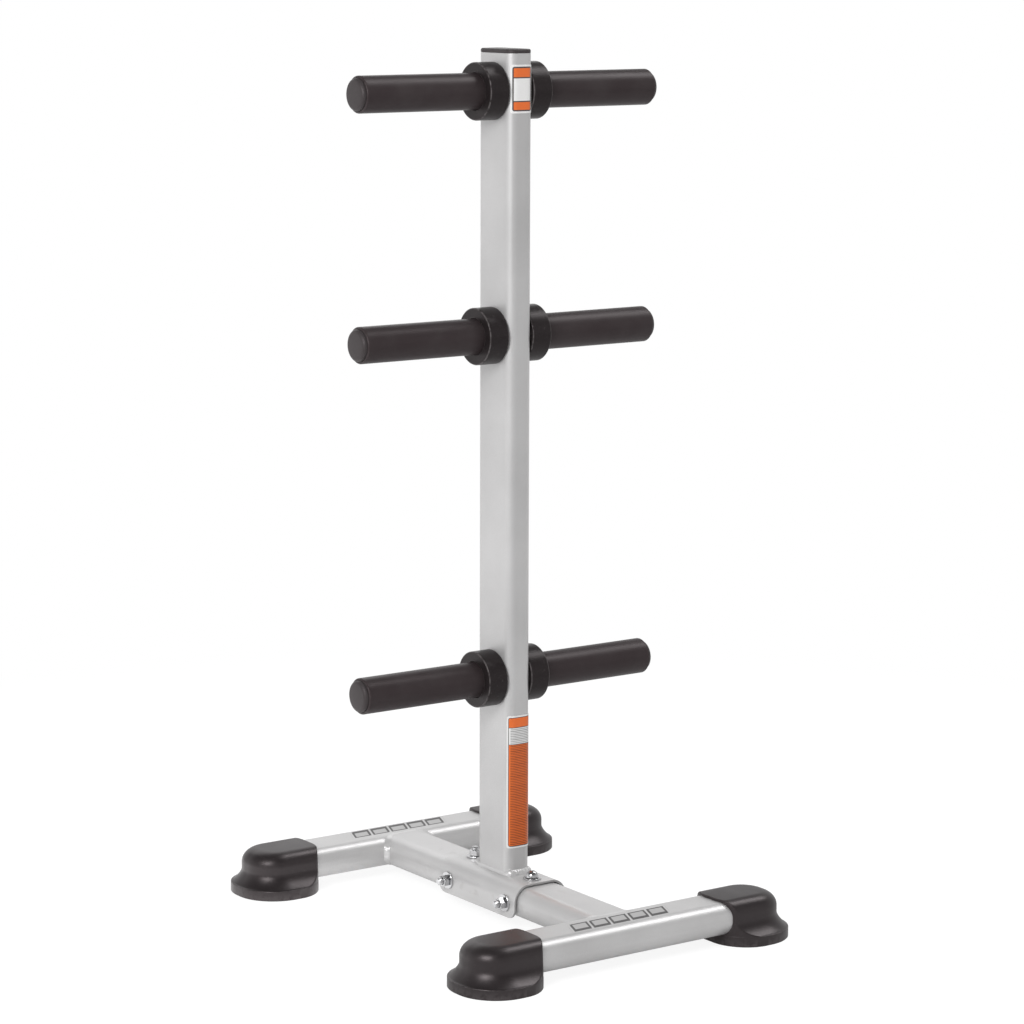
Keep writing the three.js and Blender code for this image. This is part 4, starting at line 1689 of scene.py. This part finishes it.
@dataclass
class Base:
    """The two stubs and foot tubes, with the welds between them."""

    ripple: Recipe
    saddle: Saddle
    section: Section = Section(76.2, 43.7, 19.5)
    wall: float = 2.5
    bottom: float = 13.2
    reach: float = 269.0
    foot_length: float = 430.0
    inner_end: float = 2.0
    inner_loop: float = 1.0
    cope_lip: float = 15.0
    cope_start: float = 12.0
    bead_lip: float = 4.0
    bead_depth: float = 0.6
    bead_skin: float = 0.05
    bead_pitch: float = 0.55
    over_limits: Flat = (0.02, 0.5)
    under_limits: Flat = (0.1, 0.8)
    leg_parts: Point = (6.0, 5.0, 1.2)
    run_parts: Point = (6.0, 5.5, 4.0)
    bulge_parts: Point = (0.5, -0.45, 0.2)
    swell_parts: Point = (0.85, 0.0, 0.4)
    least_swell: float = 0.04
    first_seed: float = 5.0

    @property
    def middle(self) -> float:
        """The height of the tubes' axes."""
        return self.bottom + self.section.depth / 2

    @property
    def ceiling(self) -> float:
        """The height that a fastener may reach inside the stubs."""
        return self.bottom + self.section.depth - self.wall - SEAT_GAP

    @property
    def face(self) -> float:
        """How far the foot tubes' near faces lie from the middle."""
        return self.reach - self.section.width / 2

    def build(self) -> None:
        """Makes the base's pieces."""
        half = self.foot_length / 2
        for end in End:
            self.stub(end).finished(LIT_BASE_SILVER)
            tube = box_tube(f"{end.label}_foot_tube", self.section, self.wall, -half, half)
            place = Matrix.Translation((0, end.sign * self.reach, 0))
            tube.moved(place @ lay_along_x(self.middle)).finished(LIT_PRINTED_SILVER)
            bead, seed = self.bead(end), self.first_seed + end.sign
            bead.grown(self.ripple, Pitch=3.4, Height=0.4, Lumps=0.3, Bow=0.8, Seed=seed)
            bead.finished(LIT_BEAD_SILVER, SMOOTH_ANGLE)

    def contact(self, height: float) -> float:
        """How far from the middle a foot tube's near face lies, so far off its axis."""
        corner = self.section.corner
        return self.face + fall(corner, abs(height) - (self.section.depth / 2 - corner))

    def stub(self, end: End) -> Piece:
        """Draws a stub whose outer end is coped to its foot tube.

        Args:
            end: the end that it stands at.

        Returns:
            The piece, with its bolt holes.
        """
        rings = []
        steps = [(-self.wall, 0), (0.0, 0), (0.0, 1), (0.0, 2), (0.0, 3), (-self.wall, 3)]
        for offset, place in steps:
            ring = []
            for x, z in self.section.outline(offset):
                far = min(self.contact(z), self.face + self.cope_lip) - SEAT_GAP
                near = self.inner_end
                y = (near, near + self.inner_loop, far - self.cope_start, far)[place]
                ring.append((x, end.sign * y, self.middle + z))
            rings.append(ring)
        stub = Piece.lofted(f"{end.label}_stub_tube", rings, looped=True)
        return stub.cut(*self.saddle.holes(end))

    def bead(self, end: End) -> Piece:
        """Draws the weld between a stub and its foot tube, dressed flush on top.

        Its parts are what it has at the sides, on top and underneath.

        Args:
            end: the end that it lies at.

        Returns:
            The piece, without its ripples.
        """
        stations = []
        outer = self.face + self.cope_lip + self.bead_lip
        half, skin, depth = self.section.depth / 2, self.bead_skin, self.bead_depth
        for (x, z), (out_x, out_z), along in self.section.track(self.bead_pitch):
            over, under = ease(out_z, *self.over_limits), ease(-out_z, *self.under_limits)
            shares = ((1 - over) * (1 - under), over, under)
            leg, run = weigh(self.leg_parts, shares), weigh(self.run_parts, shares)
            near = min(self.contact(z), outer)
            lifted = min(z + out_z * leg, half + skin)
            far = min(self.contact(min(abs(lifted), half)), outer)

            def at(out: float, y: float, height: float) -> Point:
                """A point out from the stub's side, at a place along it and a height."""
                return x + out_x * out, end.sign * y, self.middle + height

            stations.append(
                Station(
                    first_leg=at(skin, near - run, z + out_z * skin),
                    second_leg=at(leg, far - 2 * skin, lifted),
                    root=at(-depth, near - depth, z - out_z * depth),
                    bulge=weigh(self.bulge_parts, shares),
                    along=along,
                    swell=weigh(self.swell_parts, shares) + self.least_swell,
                )
            )
        return weld_bead(f"{end.label}_stub_weld", stations)


@dataclass
class RubberFoot:
    """A moulded rubber boot over one end of a foot tube."""

    end: End
    side: Side
    base: Base
    half_width: float = 61.5
    length: float = 116.2
    overhang: float = 45.4
    end_corner: float = 57.0
    mouth_radius: float = 52.0
    rim: float = 14.0
    rim_edge: float = 1.2
    sole_edge: float = 0.8
    boot_wall: float = 4.8
    end_inset: float = 14.2
    boot_corner: float = 40.0
    flare: float = 19.0
    flare_hollow_share: float = 0.5
    roof: float = 4.0
    round_side: float = 19.5
    round_end: float = 24.0
    draft: float = 2.0
    rim_draft_share: float = 0.3
    mouth_edge: float = 2.2
    lip_start_share: float = 0.7
    lip_gain: float = 8.0
    mouth_steps: int = 36
    corner_steps: int = 20
    knee_steps: int = 5

    @property
    def outer(self) -> float:
        """How far the boot reaches from the middle, along X."""
        return self.base.foot_length / 2 + self.overhang

    @property
    def top(self) -> float:
        """The height of the boot's roof."""
        return self.base.bottom + self.base.section.depth + self.roof

    @property
    def side_inset(self) -> float:
        """How far the boot's wall stands in from its rim."""
        return self.half_width - self.base.section.width / 2 - self.boot_wall

    def build(self) -> None:
        """Makes the foot."""
        name = f"{self.end.label}_{self.side.label}_rubber_foot"
        boot = Piece.lofted(name, [self.ring(*level) for level in self.levels()])
        low = self.outer - self.length - CUT_OVERRUN
        high = self.base.foot_length / 2 + SEAT_GAP
        socket = Piece.lofted("tool", [self.base.section.ring(SEAT_GAP, x) for x in (low, high)])
        socket.moved(lay_along_x(self.base.middle))
        turn = Matrix.Rotation(0.0 if self.side is Side.RIGHT else math.pi, 4, "Z")
        place = Matrix.Translation((0, self.end.sign * self.base.reach, 0))
        boot.cut(socket).moved(place @ turn).finished(FOOT_BLACK, SOCKET_ANGLE)

    def mouth(self, across: float) -> float:
        """How far the mouth lies from the middle of the tube at a place across it."""
        past = abs(across) - (self.half_width - self.mouth_radius)
        return self.outer - self.length + fall(self.mouth_radius, past)

    def ring(
        self,
        side_inset: float,
        end_inset: float,
        corner: float,
        height: float,
        draft: float,
    ) -> list[Point]:
        """Draws one level of the boot.

        Args:
            side_inset: how far it stands in from the rim at the sides.
            end_inset: how far it stands in at the closed end.
            corner: the radius of its corners at the closed end.
            height: its height.
            draft: how far its mouth stands back.

        Returns:
            The ring's points, anticlockwise seen from above.
        """
        half = self.half_width - side_inset
        centre = self.outer - end_inset - corner
        edge = min(self.mouth_edge, half / 4)
        mouth: list[Flat] = []
        for i in range(self.mouth_steps + 1):
            across = (half - edge) * math.cos(i / self.mouth_steps * math.pi)
            mouth.append((self.mouth(across) + draft, across))
        left = self._mouth_corner(half, edge, draft)
        right = [(x, -y) for x, y in reversed(left)]
        turn: list[Flat] = []
        for sign, start in ((-1, -RIGHT_ANGLE), (1, 0.0)):
            for i in range(self.corner_steps + 1):
                angle = start + i / self.corner_steps * RIGHT_ANGLE
                across = sign * (half - corner) + corner * math.sin(angle)
                turn.append((centre + corner * math.cos(angle), across))
        return [(*place, height) for place in (*mouth, *left, *turn, *right)]

    def _mouth_corner(self, half: float, edge: float, draft: float) -> list[Flat]:
        """Draws the rounded corner between the mouth and the side of negative Y.

        Args:
            half: half the boot's width.
            edge: how far the corner runs along both.
            draft: how far the mouth stands back.

        Returns:
            Its points, without the first.
        """
        start = Vector((self.mouth(half - edge) + draft, edge - half))
        knee = Vector((self.mouth(half) + draft, -half))
        end = knee + Vector((edge, 0.0))
        shares = [i / self.knee_steps for i in range(1, self.knee_steps + 1)]
        return [tuple(start.lerp(knee, s).lerp(knee.lerp(end, s), s)) for s in shares]

    def levels(self) -> list[tuple[float, float, float, float, float]]:
        """Lists the boot's levels from the sole up: rim, flare, wall and rounded roof.

        Returns:
            What ring() takes, for each level.
        """
        levels = []
        sole = quarter((self.sole_edge, 0.0), (0.0, self.sole_edge), False, 3)
        rim = quarter((0.0, self.rim - self.rim_edge), (self.rim_edge, self.rim), False, 5)
        for curve, share in ((sole, 1.0), (rim, self.rim_draft_share)):
            for inset, height in curve:
                levels.append((inset, inset, self.end_corner - inset, height, inset * share))
        climb = self.top - self.rim
        rim_draft = self.rim_edge * self.rim_draft_share
        for share, rise in quarter((0.0, 0.0), (1.0, 1.0), True, 12)[1:]:
            side = self.rim_edge + (self.side_inset - self.rim_edge) * share
            end = self.rim_edge + (self.end_inset - self.rim_edge) * share
            corner = self.end_corner + (self.boot_corner - self.end_corner) * share
            raised = self.flare * (share + (rise - share) * self.flare_hollow_share)
            draft = max(rim_draft, self.draft * raised / climb)
            levels.append((side, end, corner, self.rim + raised, draft))
        shoulder = self.top - self.round_side
        for inset, height in quarter((0.0, shoulder), (self.round_side, self.top), False, 14):
            side, corner = self.side_inset + inset, self.boot_corner - inset
            end = self.end_inset + inset * self.round_end / self.round_side
            past = max(0.0, inset / self.round_side - self.lip_start_share)
            draft = self.draft * (height - self.rim) / climb
            draft += self.mouth_edge * past**2 * self.lip_gain
            levels.append((side, end, corner, height, draft))
        return levels


@dataclass
class WeightPeg:
    """One peg with its plug, its collar and its weld."""

    level: Level
    side: Side
    ripple: Recipe
    radius: float = 24.15
    wall: float = 2.6
    start: float = 19.35
    tip: float = 230.5
    edge: float = 2.0
    shoulder: float = 2.0
    plug_stand: float = 6.3
    plug_edge: float = 5.5
    plug_wall: float = 2.2
    plug_depth: float = 18.0
    plug_rise: float = 0.5
    crown: tuple[Flat, ...] = ((0.55, 0.14), (0.25, 0.02), (0.0, 0.0))
    collar_radius: float = 38.0
    collar_width: float = 30.0
    collar_edge: float = 1.6
    bore_gap: float = 0.4
    bore_edge: float = 0.7
    recess: float = 6.0
    bead_leg: float = 4.5
    bead_leg_share: float = 0.85
    bead_gap: Flat = (0.2, 0.1)
    bead_bulge: float = 0.2
    bead_swell: float = 0.8
    bead_stations: int = 240
    bead_strips: int = 5
    first_seed: float = 11.0
    seeds: float = 7.0
    sides: int = 96

    @property
    def name(self) -> str:
        """The start of the pieces' names."""
        return f"{self.level.label}_{self.side.label}_peg"

    def build(self) -> None:
        """Makes the peg's pieces."""
        seed = self.first_seed + self.level.height % self.seeds + self.side.sign
        bead = self.bead()
        bead.grown(self.ripple, Pitch=3.0, Height=0.3, Lumps=0.25, Bow=0.6, Seed=seed)
        turn = Matrix.Rotation(self.side.sign * RIGHT_ANGLE, 4, "Y")
        place = lift(self.level.height) @ turn
        self.tube().moved(place).finished(PEG_BLACK)
        self.plug().moved(place).finished(PLUG_BLACK)
        self.collar().moved(place).finished(COLLAR_BLACK)
        bead.moved(place).finished(BEAD_BLACK, SMOOTH_ANGLE)

    def tube(self) -> Piece:
        """Turns the peg itself, with its outer edge rolled over.

        Returns:
            The piece, on the Z axis.
        """
        inner, outer, low = self.radius - self.wall, self.radius, self.tip - self.edge
        profile = [(inner, self.start), (outer, self.start), (outer, self.start + self.shoulder)]
        profile += [(outer, low - self.shoulder)]
        profile += quarter((outer, low), (outer - self.edge, self.tip), False, 7)
        profile += [(inner, self.tip)]
        return Piece.turned(self.name, profile, self.sides)

    def plug(self) -> Piece:
        """Turns the push-in plug, with a soft edge round a slightly crowned face.

        Returns:
            The piece, on the Z axis.
        """
        radius = self.radius - self.wall - SEAT_GAP
        inner = radius - self.plug_wall
        face = self.tip + self.plug_stand
        back, low = face - self.plug_edge, self.tip - self.plug_depth
        profile = [(0.0, back), (inner, back), (inner, low), (radius, low)]
        rounded = (radius - self.plug_edge, face - self.plug_rise)
        profile += quarter((radius, back), rounded, False, 12)
        profile += [(radius * share, face - drop) for share, drop in self.crown]
        return Piece.turned(f"{self.name}_cap", profile, self.sides)

    def collar(self) -> Piece:
        """Turns the bumper collar, with a recess at its inner face that clears the weld.

        Returns:
            The piece, on the Z axis.
        """
        start, outer, edge = self.start, self.collar_radius, self.collar_edge
        shoulder = self.shoulder
        bore, small = self.radius + self.bore_gap, self.bore_edge
        recess = self.radius + self.bead_leg + 2 * SEAT_GAP
        face = start + self.collar_width
        profile = [(recess, start), (outer - edge - shoulder, start)]
        profile += quarter((outer - edge, start), (outer, start + edge), True, 6)
        profile += [(outer, start + edge + shoulder), (outer, face - edge - shoulder)]
        profile += quarter((outer, face - edge), (outer - edge, face), False, 6)
        profile += [(outer - edge - shoulder, face), (bore + 2 * small, face)]
        profile += quarter((bore + small, face), (bore, face - small), True, 4)
        profile += [(bore, start + self.recess), (recess, start + self.recess)]
        return Piece.turned(f"{self.name}_collar", profile, self.sides)

    def bead(self) -> Piece:
        """Draws the fillet weld at the peg's root.

        Returns:
            The piece, without its ripples, on the Z axis.
        """
        out_gap, up_gap = self.bead_gap
        leg, low = self.bead_leg * self.bead_leg_share, self.start + up_gap
        near, far = self.radius + out_gap, self.radius + leg
        stations = []
        for i in range(self.bead_stations):
            angle = i / self.bead_stations * math.tau

            def at(radius: float, height: float) -> Point:
                """A point at a distance from the peg's axis and a height."""
                return radius * math.cos(angle), radius * math.sin(angle), height

            legs = at(far, low), at(near, low + leg), at(near, low)
            stations.append(Station(*legs, self.bead_bulge, angle * self.radius, self.bead_swell))
        return weld_bead(f"{self.name}_weld", stations, self.bead_strips)


@dataclass
class Fasteners:
    """The bolts, nuts and washers that hold the saddle to the stubs."""

    thread: Recipe
    saddle: Saddle
    base: Base
    radius: float = 4.75
    point: float = 1.0
    head_radius: float = 9.1
    head_band: float = 0.9
    head_height: float = 9.6
    head_arris: float = 0.5
    dome_step: Flat = (0.35, 0.4)
    side_stand: float = 6.5
    top_stand: float = 4.5
    inner_head: float = 4.0
    inner_head_edge: float = 1.0
    across_flats: float = 14.3
    face_share: float = 0.96
    chamfer_degrees: float = 30.0
    nut_height: float = 8.0
    nut_arris: float = 0.5
    inner_nut: float = 6.0
    side_spin: Flat = (11.0, 2.0)
    top_spins: Flat = (0.0, 8.0)
    washer_radius: float = 12.0
    washer: float = 1.8
    washer_arris: float = 0.4
    bore_arris: float = 0.3
    pitch: float = 1.5
    thread_depth: float = 0.45
    thread_sink: float = 0.3
    thread_runout: float = 0.5
    sides: int = 48
    nut_sides: int = 96

    def build(self) -> None:
        """Makes the fasteners."""
        for end in End:
            self.build_side_row(end)
        for end in End:
            self.build_top_row(end)

    def build_side_row(self, end: End) -> None:
        """Makes the bolt across the base at one end, with its washers and its nut.

        Args:
            end: the end.
        """
        name = f"{end.label}_side"
        row = self.saddle.side_row(end)
        seat = self.saddle.half_width + SEAT_GAP
        clamp = seat + self.washer + SEAT_GAP
        tip = clamp + self.nut_height + self.side_stand
        bolt = self.domed_bolt(f"{name}_bolt", clamp, -tip, self.side_stand)
        bolt.moved(row).finished(BRIGHT)
        for word, height in (("head", seat), ("nut", -seat - self.washer)):
            self.plain_washer(f"{name}_{word}_washer").moved(row @ lift(height)).finished(BRIGHT)
        mean, more = self.side_spin
        spin = Matrix.Rotation(math.radians(mean + more * end.sign), 4, "Z")
        nut = self.hex_nut(f"{name}_nut", self.nut_height)
        nut.moved(row @ lift(-clamp - self.nut_height) @ spin).finished(BRIGHT)

    def build_top_row(self, end: End) -> None:
        """Makes the upright bolt at one end, with its washer and its nut.

        The front one has its head on top, and the rear one its nut.

        Args:
            end: the end.
        """
        name = f"{end.label}_top"
        row = self.saddle.top_row(end)
        seat = self.saddle.top + SEAT_GAP
        clamp, ceiling = seat + self.washer + SEAT_GAP, self.base.ceiling
        if end is End.FRONT:
            height, place = self.inner_nut, ceiling - self.inner_nut
            bolt = self.domed_bolt(f"{name}_bolt", clamp, place - self.top_stand, self.top_stand)
        else:
            height, place = self.nut_height, clamp
            bolt = self.flat_bolt(f"{name}_bolt", ceiling, clamp + height + self.top_stand)
        bolt.moved(row).finished(BRIGHT)
        self.plain_washer(f"{name}_washer").moved(row @ lift(seat)).finished(BRIGHT)
        spin = Matrix.Rotation(math.radians(end.pick(self.top_spins)), 4, "Z")
        self.hex_nut(f"{name}_nut", height).moved(row @ lift(place) @ spin).finished(BRIGHT)

    def threaded(self, bolt: Piece, start: float, stand: float) -> Piece:
        """Winds the thread on a bolt's point.

        Args:
            bolt: the bolt.
            start: where the thread starts, along the bolt.
            stand: how much of the point shows.

        Returns:
            The bolt.
        """
        return bolt.grown(
            self.thread,
            Radius=self.radius - self.thread_sink,
            Depth=self.thread_depth,
            Pitch=self.pitch,
            Length=stand - self.point,
            Start=start,
        )

    def domed_bolt(self, name: str, under: float, tip: float, stand: float) -> Piece:
        """Turns a bolt with a domed head above and its point below.

        Args:
            name: the piece's name.
            under: the height of the head's underside.
            tip: the height of the bolt's point.
            stand: how much of the point shows its thread.

        Returns:
            The piece, on the Z axis.
        """
        head, arris, band = self.head_radius, self.head_arris, under + self.head_band
        inset, drop = self.dome_step
        profile = [(0.0, tip), (self.radius - self.point, tip), (self.radius, tip + self.point)]
        profile += [(self.radius, under), (head - arris, under)]
        profile += [(head, under + arris), (head, band - drop)]
        profile += quarter((head - inset, band), (0.0, under + self.head_height), False, 14)
        bolt = Piece.turned(name, profile, self.sides)
        return self.threaded(bolt, tip + self.point, stand)

    def flat_bolt(self, name: str, under: float, tip: float) -> Piece:
        """Turns a bolt with a flat head below and its point above.

        Args:
            name: the piece's name.
            under: the height of the head's face that bears.
            tip: the height of the bolt's point.

        Returns:
            The piece, on the Z axis.
        """
        head, edge, low = self.head_radius, self.inner_head_edge, under - self.inner_head
        profile = [(0.0, low), (head - edge, low), (head, low + edge), (head, under)]
        profile += [(self.radius, under), (self.radius, tip - self.point)]
        profile += [(self.radius - self.point, tip), (0.0, tip)]
        bolt = Piece.turned(name, profile, self.sides)
        return self.threaded(bolt, tip - self.top_stand - self.thread_runout, self.top_stand)

    def plain_washer(self, name: str) -> Piece:
        """Turns a washer with rounded arrises.

        Args:
            name: the piece's name.

        Returns:
            The piece, standing on the XY plane.
        """
        hole, outer, thick = self.saddle.hole, self.washer_radius, self.washer
        edge, small = self.washer_arris, self.bore_arris
        profile = [(hole, 0.0), (outer - edge, 0.0), (outer, edge)]
        profile += quarter((outer, thick - edge), (outer - edge, thick), False, 4)
        profile += [(hole + small, thick), (hole, thick - small)]
        return Piece.turned(name, profile, self.sides)

    def hex_nut(self, name: str, height: float) -> Piece:
        """Draws a hexagon nut whose corners are turned off at both faces.

        Args:
            name: the piece's name.
            height: how thick it is.

        Returns:
            The piece, standing on the XY plane.
        """
        inner, arris = self.radius + SEAT_GAP, self.nut_arris
        apothem = self.across_flats / 2
        face = apothem * self.face_share
        slope = math.tan(math.radians(self.chamfer_degrees))
        columns = []
        for i in range(self.nut_sides):
            angle = i / self.nut_sides * math.tau
            flat = apothem / math.cos(angle % (math.pi / 3) - math.pi / 6)
            half = [(inner, arris), (inner + arris, 0.0), (face, 0.0)]
            half += [(flat, (flat - face) * slope)]
            levels = half + [(radius, height - z) for radius, z in reversed(half)]
            columns.append([(r * math.cos(angle), r * math.sin(angle), z) for r, z in levels])
        return Piece.lofted(name, list(zip(*columns)), looped=True)


@dataclass(frozen=True)
class Lamp:
    """A soft rectangular lamp that looks at a point."""

    name: str
    place: Point
    aim: Point
    size: Flat
    power: float

    def build(self) -> None:
        """Hangs the lamp."""
        data = bpy.data.lights.new(self.name, "AREA")
        data.shape = "RECTANGLE"
        data.size, data.size_y = self.size
        data.energy = self.power
        lamp = show(self.name, data)
        lamp.location = self.place
        look = Vector(self.aim) - Vector(self.place)
        lamp.rotation_euler = look.to_track_quat("-Z", "Y").to_euler()


@dataclass(frozen=True)
class Studio:
    """The camera, the floor and the light, in metres and degrees.

    A field of the floor, lit or with painted shadow, is a square of its reach and the blur of its
    edge.
    """

    eye: Point = (-2.5633, -3.6477, 1.3094)
    yaw: float = 35.228
    pitch: float = 9.623
    roll: float = 0.189
    focal: float = 3375.013
    picture: float = 1024.0
    sensor: float = 36.0
    clip: Flat = (0.05, 100.0)
    floor_size: float = 30.0
    floor_grey: float = 0.7
    near_field: Flat = (1.6, 1.4)
    mirrored_shadow_field: Flat = (2.6, 2.2)
    behind_left: Point = (-0.05, 0.0, 0.15)
    front_step: Flat = (-1.4, 1.4)
    camera_tone: float = 0.2
    mirror_tone: float = 0.45
    camera_dim: float = 0.12
    mirrored_shadow_dim: float = 0.75
    front_dim: float = 0.62
    ambient: float = 0.6
    room: float = 0.6
    room_behind: float = 0.26
    room_behind_step: Flat = (0.4, 0.45)
    room_overhead_dim: float = 0.75
    room_overhead_step: Flat = (0.5, 0.25)
    lamps: tuple[Lamp, ...] = (
        Lamp("left", (-2.4, -1.2, 1.95), (-0.6, 0.0, -0.2), (1.4, 1.2), 46.5),
        Lamp("over", (4.6, -0.4, 6.6), (0.0, 0.0, 0.4), (3.0, 3.0), 160.0),
        Lamp("back", (0.5, 1.8, 1.5), (0.0, 0.2, 0.0), (1.6, 1.2), 5.4),
    )

    def build(self) -> None:
        """Sets up the studio."""
        self.build_camera()
        self.build_floor()
        self.build_world()
        for lamp in self.lamps:
            lamp.build()
        bpy.context.scene.view_settings.view_transform = "Standard"

    def build_camera(self) -> None:
        """Sets the camera to the picture's point of view."""
        yaw, pitch, roll = (math.radians(a) for a in (self.yaw, self.pitch, self.roll))
        bearing = Vector((math.sin(yaw), math.cos(yaw), 0.0))
        ahead = bearing * math.cos(pitch) - Vector((0.0, 0.0, math.sin(pitch)))
        level = Vector((math.cos(yaw), -math.sin(yaw), 0.0))
        over = level.cross(ahead)
        right = level * math.cos(roll) + over * math.sin(roll)
        up = over * math.cos(roll) - level * math.sin(roll)
        data = bpy.data.cameras.new("camera")
        data.sensor_width = self.sensor
        data.lens = self.focal * self.sensor / self.picture
        data.clip_start, data.clip_end = self.clip
        camera = show("camera", data)
        turn = Matrix((right, up, -ahead)).transposed().to_4x4()
        camera.matrix_world = Matrix.Translation(self.eye) @ turn
        bpy.context.scene.camera = camera

    def build_floor(self) -> None:
        """Lays the pale floor, which shows white and keeps the object's shadow, and shows mirrored
        rays a painted shadow round the object.
        """
        half = self.floor_size / 2
        mesh = bpy.data.meshes.new("floor")
        corners = [(-half, -half, 0.0), (half, -half, 0.0), (half, half, 0.0), (-half, half, 0.0)]
        mesh.from_pydata(corners, [], [(0, 1, 2, 3)])
        paint = bpy.data.materials.new("floor")
        paint.use_nodes = True
        paint.node_tree.nodes.clear()
        board = Board(paint.node_tree)
        camera, mirror = board.rays()
        x, y, _ = board.axes(board.place())
        away = x**2 + y**2
        near = away.below(*self.near_field)
        left, behind, blur = self.behind_left
        # Painted shadow round the object, seen only by mirrored rays, except behind it to the
        # left.
        mirrored_shadow = away.below(*self.mirrored_shadow_field) * (1 - x.below(left, blur) * y.above(behind, blur))
        tone = near * (camera * self.camera_tone + mirror * self.mirror_tone)
        grey = board.mix(tone, BLACK, WHITE)
        shaded = board.term("ShaderNodeBsdfDiffuse", inputs={"Color": grey})
        seen = camera * (1 - near * self.camera_dim)
        front = 1 - y.below(*self.front_step) * self.front_dim
        mirrored = mirror * (1 - mirrored_shadow * self.mirrored_shadow_dim) * front
        inputs = {"Color": (*WHITE, 1.0), "Strength": seen + mirrored}
        glow = board.term("ShaderNodeEmission", inputs=inputs)
        bright = board.term("ShaderNodeAddShader", inputs={0: shaded, 1: glow})
        inputs = {"Color": (*shade(WHITE, self.floor_grey), 1.0)}
        plain = board.term("ShaderNodeBsdfDiffuse", inputs=inputs)
        inputs = {0: camera.most(mirror), 1: plain, 2: bright}
        both = board.term("ShaderNodeMixShader", inputs=inputs)
        board.add("ShaderNodeOutputMaterial", inputs={"Surface": both})
        mesh.materials.append(paint)
        show("floor", mesh)

    def build_world(self) -> None:
        """Sets the soft light from all round, which shows as white to the camera."""
        world = bpy.data.worlds.new("studio")
        bpy.context.scene.world = world
        world.use_nodes = True
        world.node_tree.nodes.clear()
        board = Board(world.node_tree)
        camera, mirror = board.rays()
        _, y, z = board.axes(board.term("ShaderNodeTexCoord", output="Generated"))
        room = self.room + self.room_behind * y.above(*self.room_behind_step)
        room = room * (1 - self.room_overhead_dim * z.above(*self.room_overhead_step))
        strengths = (self.ambient, room.most(camera))
        inputs = [{"Color": (*WHITE, 1.0), "Strength": strength} for strength in strengths]
        soft, white = (board.term("ShaderNodeBackground", inputs=each) for each in inputs)
        inputs = {0: camera.most(mirror), 1: soft, 2: white}
        both = board.term("ShaderNodeMixShader", inputs=inputs)
        board.add("ShaderNodeOutputWorld", inputs={"Surface": both})


def main() -> None:
    """Builds the studio and each sub-assembly in order, and reports on each."""
    logging.basicConfig(level=logging.INFO, format="%(name)s: %(message)s")
    Studio().build()
    ripple = weld_ripple()
    saddle = Saddle()
    base = Base(ripple, saddle)
    log.info("upright")
    Upright(ripple, saddle).build()
    log.info("saddle and base")
    saddle.build()
    base.build()
    for end in End:
        for side in Side:
            RubberFoot(end, side, base).build()
    log.info("pegs")
    for level in Level:
        for side in Side:
            WeightPeg(level, side, ripple).build()
    log.info("fasteners")
    Fasteners(bolt_thread(), saddle, base).build()
    bpy.context.view_layer.update()


if __name__ == "__main__":
    main()
